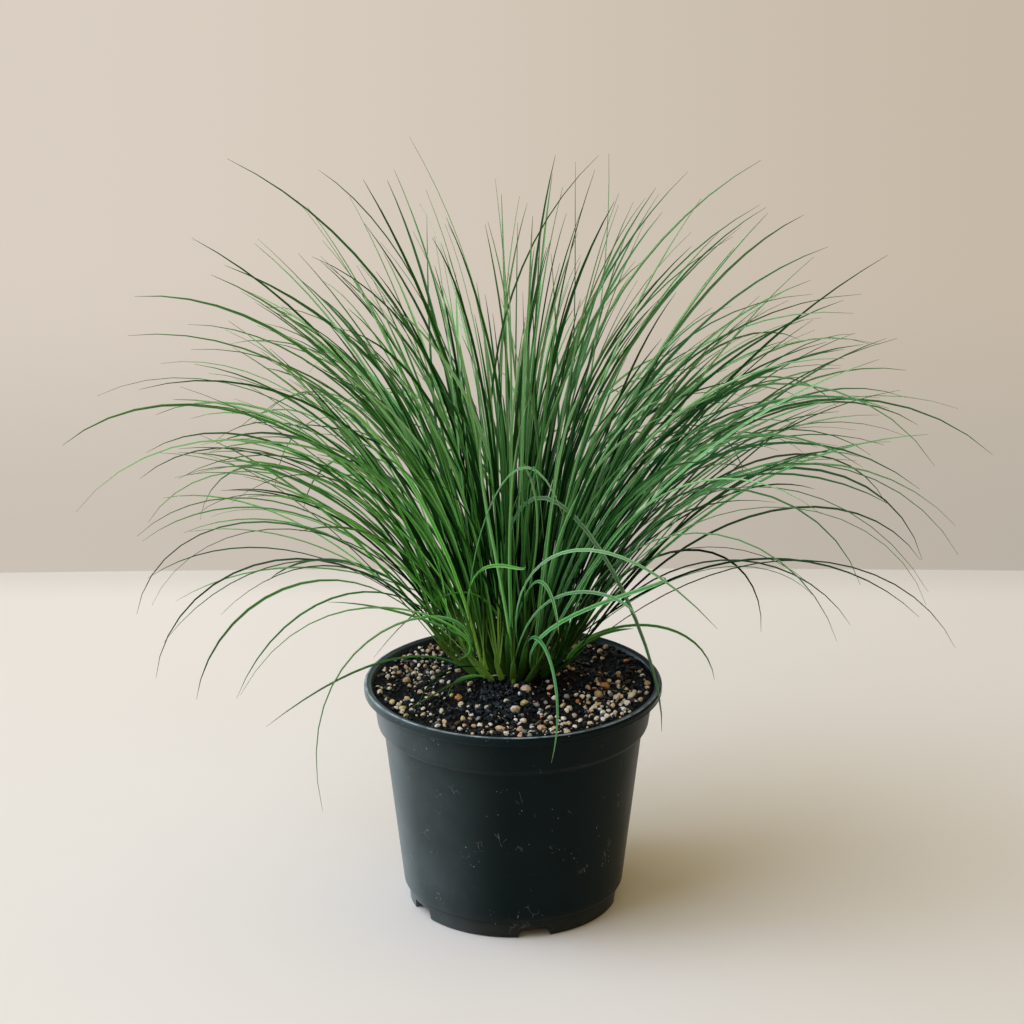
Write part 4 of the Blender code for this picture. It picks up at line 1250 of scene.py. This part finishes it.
def fine_leaves(index, shoot, arches):
    """The shoot's arching leaves without a solid, then its other fine leaves."""
    chance = random.Random(FINE_SEED + index)
    found = []
    for row, looks in FINE_ARCHES:
        if row[0] == index:
            found.append({**arching_leaf(shoot, row, chance, 0.0), "looks": looks})
    fewest, most = FINE_LEAVES_PER_SHOOT
    wanted = round(fewest + (most - fewest) * shoot["share"])
    for _ in range(TRIES):
        if len(found) >= wanted:
            break
        leaf = leaf_on(shoot, *fine_leaf(shoot, chance), chance, 0.0)
        leaf["sway"] *= 2.4
        leaf["root"] = shoot["foot"] + shoot["axis"] * shoot["length"] * chance.uniform(0.65, 1.1)
        path = leaf_path(leaf, VIEW_POINTS)
        if clear_of_pot(leaf_body(leaf)) and inside_clump(path) and not hides(path, arches):
            found.append(leaf)
    return found


def leaf_looks(leaf, chance):
    """Half width, share of blue and share of grey bloom. Leaves are bluer at the right, a painted reflection
    of cool light on top of a random share, and greyer behind.
    """
    half_width = LEAF_HALF_WIDTH * chance.uniform(0.62, 1.0)
    # Painted reflection: the blue share grows toward the right, where the leaves catch cool light; the random
    # part is the leaf's own tone.
    blue = min(max(0.42 + leaf["tip"][0] / 0.24 + chance.gauss(0, 0.22), 0), 1)
    grey = min(max(leaf["tip"][1] / 0.16, 0), 0.35) * chance.uniform(0.5, 1.0)
    drooping = eased((abs(leaf["tip"][0]) - 0.10) / 0.05) * eased((0.23 - leaf["tip"][2]) / 0.06)
    half_width *= 1 - 0.2 * drooping
    grey = max(grey, 0.55 * drooping)
    if leaf["tip"][1] < FAR_IN_FRONT:
        half_width *= 0.7
    if "looks" in leaf:
        half_width, blue, grey = leaf["looks"]
        half_width *= MM
    return half_width, blue, grey


def ripeness(foot, chance):
    """The sheaths at the left in front are yellow-green, and the others stay dark."""
    if foot[0] < -4 * MM and foot[1] < 6 * MM:
        return chance.uniform(0.1, 1.0) ** 1.3
    return chance.uniform(0.0, 0.2)


def make_shoot(index, shoot, arches, leaf_strip, sheath_strip, finish):
    """One shoot: its rolled sheath, the leaves that have a solid, and its fine leaves."""
    chance = random.Random(LOOKS_SEED + index)
    shape = bmesh.new()
    points, values = [], {name: [] for name in ("along", "side", "tone", "cool", "bloom", "ripe", "inner")}
    ripe = ripeness(shoot["foot"], chance)

    def keep(strip, places, along, tone, cool, bloom, inner=1.0):
        shape.from_mesh(strip[0])
        points.append(places)
        values["along"].append(along)
        values["side"].append(strip[1][:, 0])
        even = {"tone": tone, "cool": cool, "bloom": bloom, "ripe": ripe, "inner": inner}
        for name, value in even.items():
            values[name].append(np.full(len(places), value))

    for leaf in shoot["leaves"] + fine_leaves(index, shoot, arches):
        path = leaf_path(leaf, LEAF_RINGS)
        share = np.linspace(0, 1, LEAF_RINGS)
        twist = chance.gauss(0, 0.8) + chance.gauss(0, 0.9) * share
        if "looks" in leaf:
            twist = ARCHING_TWIST + 0.25 * (twist - ARCHING_TWIST) * share
        half_width, cool, bloom = leaf_looks(leaf, chance)
        thick = LEAF_THICKNESS * (1 - 0.65 * share)
        fold = chance.uniform(0.35, 0.8)
        places = laid_on(leaf_strip, path, twist, leaf_widths(LEAF_RINGS, half_width), thick, fold)
        tone = chance.random() * (0.4 if leaf["tip"][1] < FAR_IN_FRONT else 1.0)
        # Arching leaves get a lighter tone, a painted lift against the shade they hang in, and take less of
        # the painted clump shade.
        tone = 0.5 + 0.5 * tone if "looks" in leaf else tone
        keep(leaf_strip, places, leaf_strip[1][:, 2], tone, cool, bloom, 0.35 if "looks" in leaf else 1.0)
    ends = sheath_body(shoot)[0]
    share = np.linspace(0, 1, SHEATH_RINGS)
    path = ends[0] + (ends[1] - ends[0]) * share[:, None] * 1.2
    widths = SHEATH_FOOT_RADIUS * (1 - 0.5 * share**1.6)
    widths[-1] *= 0.3
    places = laid_on(sheath_strip, path, np.zeros(SHEATH_RINGS), widths, 1.4 * widths, 0.0)
    keep(sheath_strip, places, 0.10 * sheath_strip[1][:, 2], chance.random(), 0.3, 0.0)
    put_points(shape, points)
    number = f"{index + 1:02d}"
    piece = add_piece(f"shoot_{number}_leaves", shape, finish, sharp=30)
    for name, parts in values.items():
        store(piece, name, parts)
    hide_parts(f"grass_shoot_{number}")


def make_litter():
    """Curled dead roots and straws, a papery old sheath and a short bud at the crown."""
    strip = strip_shape(4, LITTER_RINGS)
    for name, (dark, light, rows) in LITTER.items():
        shape, points = bmesh.new(), []
        for half_width, guides in rows:
            guides = np.array(guides) * MM
            spots = np.linspace(0, len(guides) - 1, LITTER_RINGS)
            path = np.stack([np.interp(spots, range(len(guides)), axis) for axis in guides.T], axis=1)
            path[1:-1] = (path[:-2] + 2 * path[1:-1] + path[2:]) / 4
            widths = half_width * MM * (1.1 - 0.8 * np.linspace(0, 1, LITTER_RINGS) ** 2)
            shape.from_mesh(strip[0])
            points.append(laid_on(strip, path, np.zeros(LITTER_RINGS), widths, 1.5 * widths, 0.0))
        put_points(shape, points)
        piece = add_piece(name, shape, dry_finish(name, dark, light), sharp=60)
        store(piece, "tone", [np.full(len(part), 0.2) for part in points])


def make_grass():
    """All the shoots, which share one finish."""
    finish = leaf_finish()
    leaf_strip, sheath_strip = strip_shape(4, LEAF_RINGS), strip_shape(8, SHEATH_RINGS)
    shoots = grass_plan()
    arches = arching_places(shoots)
    for index, shoot in enumerate(shoots):
        make_shoot(index, shoot, arches, leaf_strip, sheath_strip, finish)


# ---------------------------------------------------------------- studio


def make_table_top():
    """The plain pale floor that the pot stands on, with painted shade toward the right and the far left, so
    that it is lightest round the pot, and darker along its far edge.
    """
    shape = bmesh.new()
    bmesh.ops.create_circle(shape, cap_ends=True, radius=FLOOR_RADIUS, segments=FLOOR_STEPS)
    turn = Matrix.Rotation(FLOOR_TURN, 4, "Z")
    place = Matrix.Translation((0, FLOOR_FAR_EDGE - FLOOR_RADIUS, -FLOOR_DROP))
    bmesh.ops.transform(shape, verts=shape.verts, matrix=place @ turn)
    for place, outward in FLOOR_SIDES:
        whole = shape.verts[:] + shape.edges[:] + shape.faces[:]
        bmesh.ops.bisect_plane(shape, geom=whole, plane_co=place, plane_no=outward, clear_outer=True)
    material, tree = new_finish("pale_paper", Roughness=0.85, Specular_IOR_Level=0.2)
    paper, way = cloudy(tree, object_place(tree), 6.0, 3.0), object_axes(tree)
    colour = layered(
        tree,
        blended(tree, paper, (0.73, 0.69, 0.655), (0.77, 0.735, 0.70)),
        # Painted shade: darker toward the right and toward the far left, and a darker band along the far
        # edge.
        (ranged(tree, way["X"], -0.25, 0.55, 0.0, 0.5), (0.54, 0.50, 0.45)),
        (ranged(tree, way["X"], -0.15, -1.20, 0.0, 0.75), (0.56, 0.53, 0.49)),
        (ranged(tree, way["Y"], FLOOR_FAR_EDGE - 0.06, FLOOR_FAR_EDGE, 0.0, 0.3), (0.44, 0.40, 0.35)),
    )
    mesh = as_mesh("table_top", shape)
    mesh.materials.append(finished(material, Base_Color=colour))
    in_scene("table_top", mesh)


def make_world():
    """Camera rays see a beige backdrop. The light itself is soft, brightest at the left and above."""
    SCENE.world = bpy.data.worlds.new("studio")
    SCENE.world.use_nodes = True
    tree = SCENE.world.node_tree
    way = put(tree, "SeparateXYZ", {"Vector": put(tree, "TexCoord").outputs["Generated"]}).outputs
    across = ranged(tree, way["X"], -0.16, 0.20)
    upper = blended(tree, across, (0.700, 0.625, 0.540), (0.560, 0.480, 0.385))
    lower = blended(tree, across, (0.595, 0.530, 0.460), (0.490, 0.440, 0.372))
    lower = blended(tree, ranged(tree, way["Y"], 0.3, -0.1), lower, (0.70, 0.64, 0.56))
    backdrop = blended(tree, ranged(tree, way["Z"], -0.33, -0.24), lower, upper)
    left, above = ranged(tree, way["X"], 0.5, -0.9), ranged(tree, way["Z"], -0.1, 0.9)
    mirrored = blended(tree, left, (0.04, 0.05, 0.035), (1.3, 1.45, 1.5))
    mirrored = blended(tree, above, mirrored, (0.34, 0.37, 0.38))
    rays = put(tree, "LightPath").outputs
    colour = layered(
        tree,
        blended(tree, left, (0.46, 0.31, 0.08), (0.30, 0.30, 0.28)),
        (above, (0.66, 0.54, 0.30)),
        (ranged(tree, way["Y"], 0.3, -0.8, 0.0, 0.6), (0.15, 0.12, 0.09)),
        (rays["Is Glossy Ray"], mirrored),
        (rays["Is Camera Ray"], backdrop),
    )
    tree.links.new(colour, tree.nodes["Background"].inputs["Color"])


def make_lights():
    """Broad soft lights, most of them at the left."""
    for name, place, height, side, power, colour in LIGHTS:
        lamp = bpy.data.lights.new(name, "AREA")
        lamp.size = side
        lamp.energy = power
        lamp.color = colour
        light = in_scene(name, lamp)
        light.visible_camera = False
        light.location = place
        light.rotation_euler = (Vector((0, 0, height)) - Vector(place)).to_track_quat("-Z", "Y").to_euler()


def make_camera():
    """The camera at the photograph's viewing angle."""
    camera = in_scene("camera", bpy.data.cameras.new("camera"))
    camera.data.sensor_width = SENSOR_MM
    camera.data.lens = LENS_MM
    camera.data.clip_start, camera.data.clip_end = 0.05, 50
    look = (CAMERA_AIM - CAMERA_PLACE).to_track_quat("-Z", "Y").to_matrix().to_4x4()
    camera.matrix_world = Matrix.Translation(CAMERA_PLACE) @ look @ Matrix.Rotation(CAMERA_ROLL, 4, "Z")
    SCENE.camera = camera


SCENE.view_settings.view_transform = "Standard"
make_camera()
make_table_top()
make_world()
make_lights()
make_pot()
make_mix()
make_grit()
make_crumbs()
make_bark()
make_grass()
make_litter()
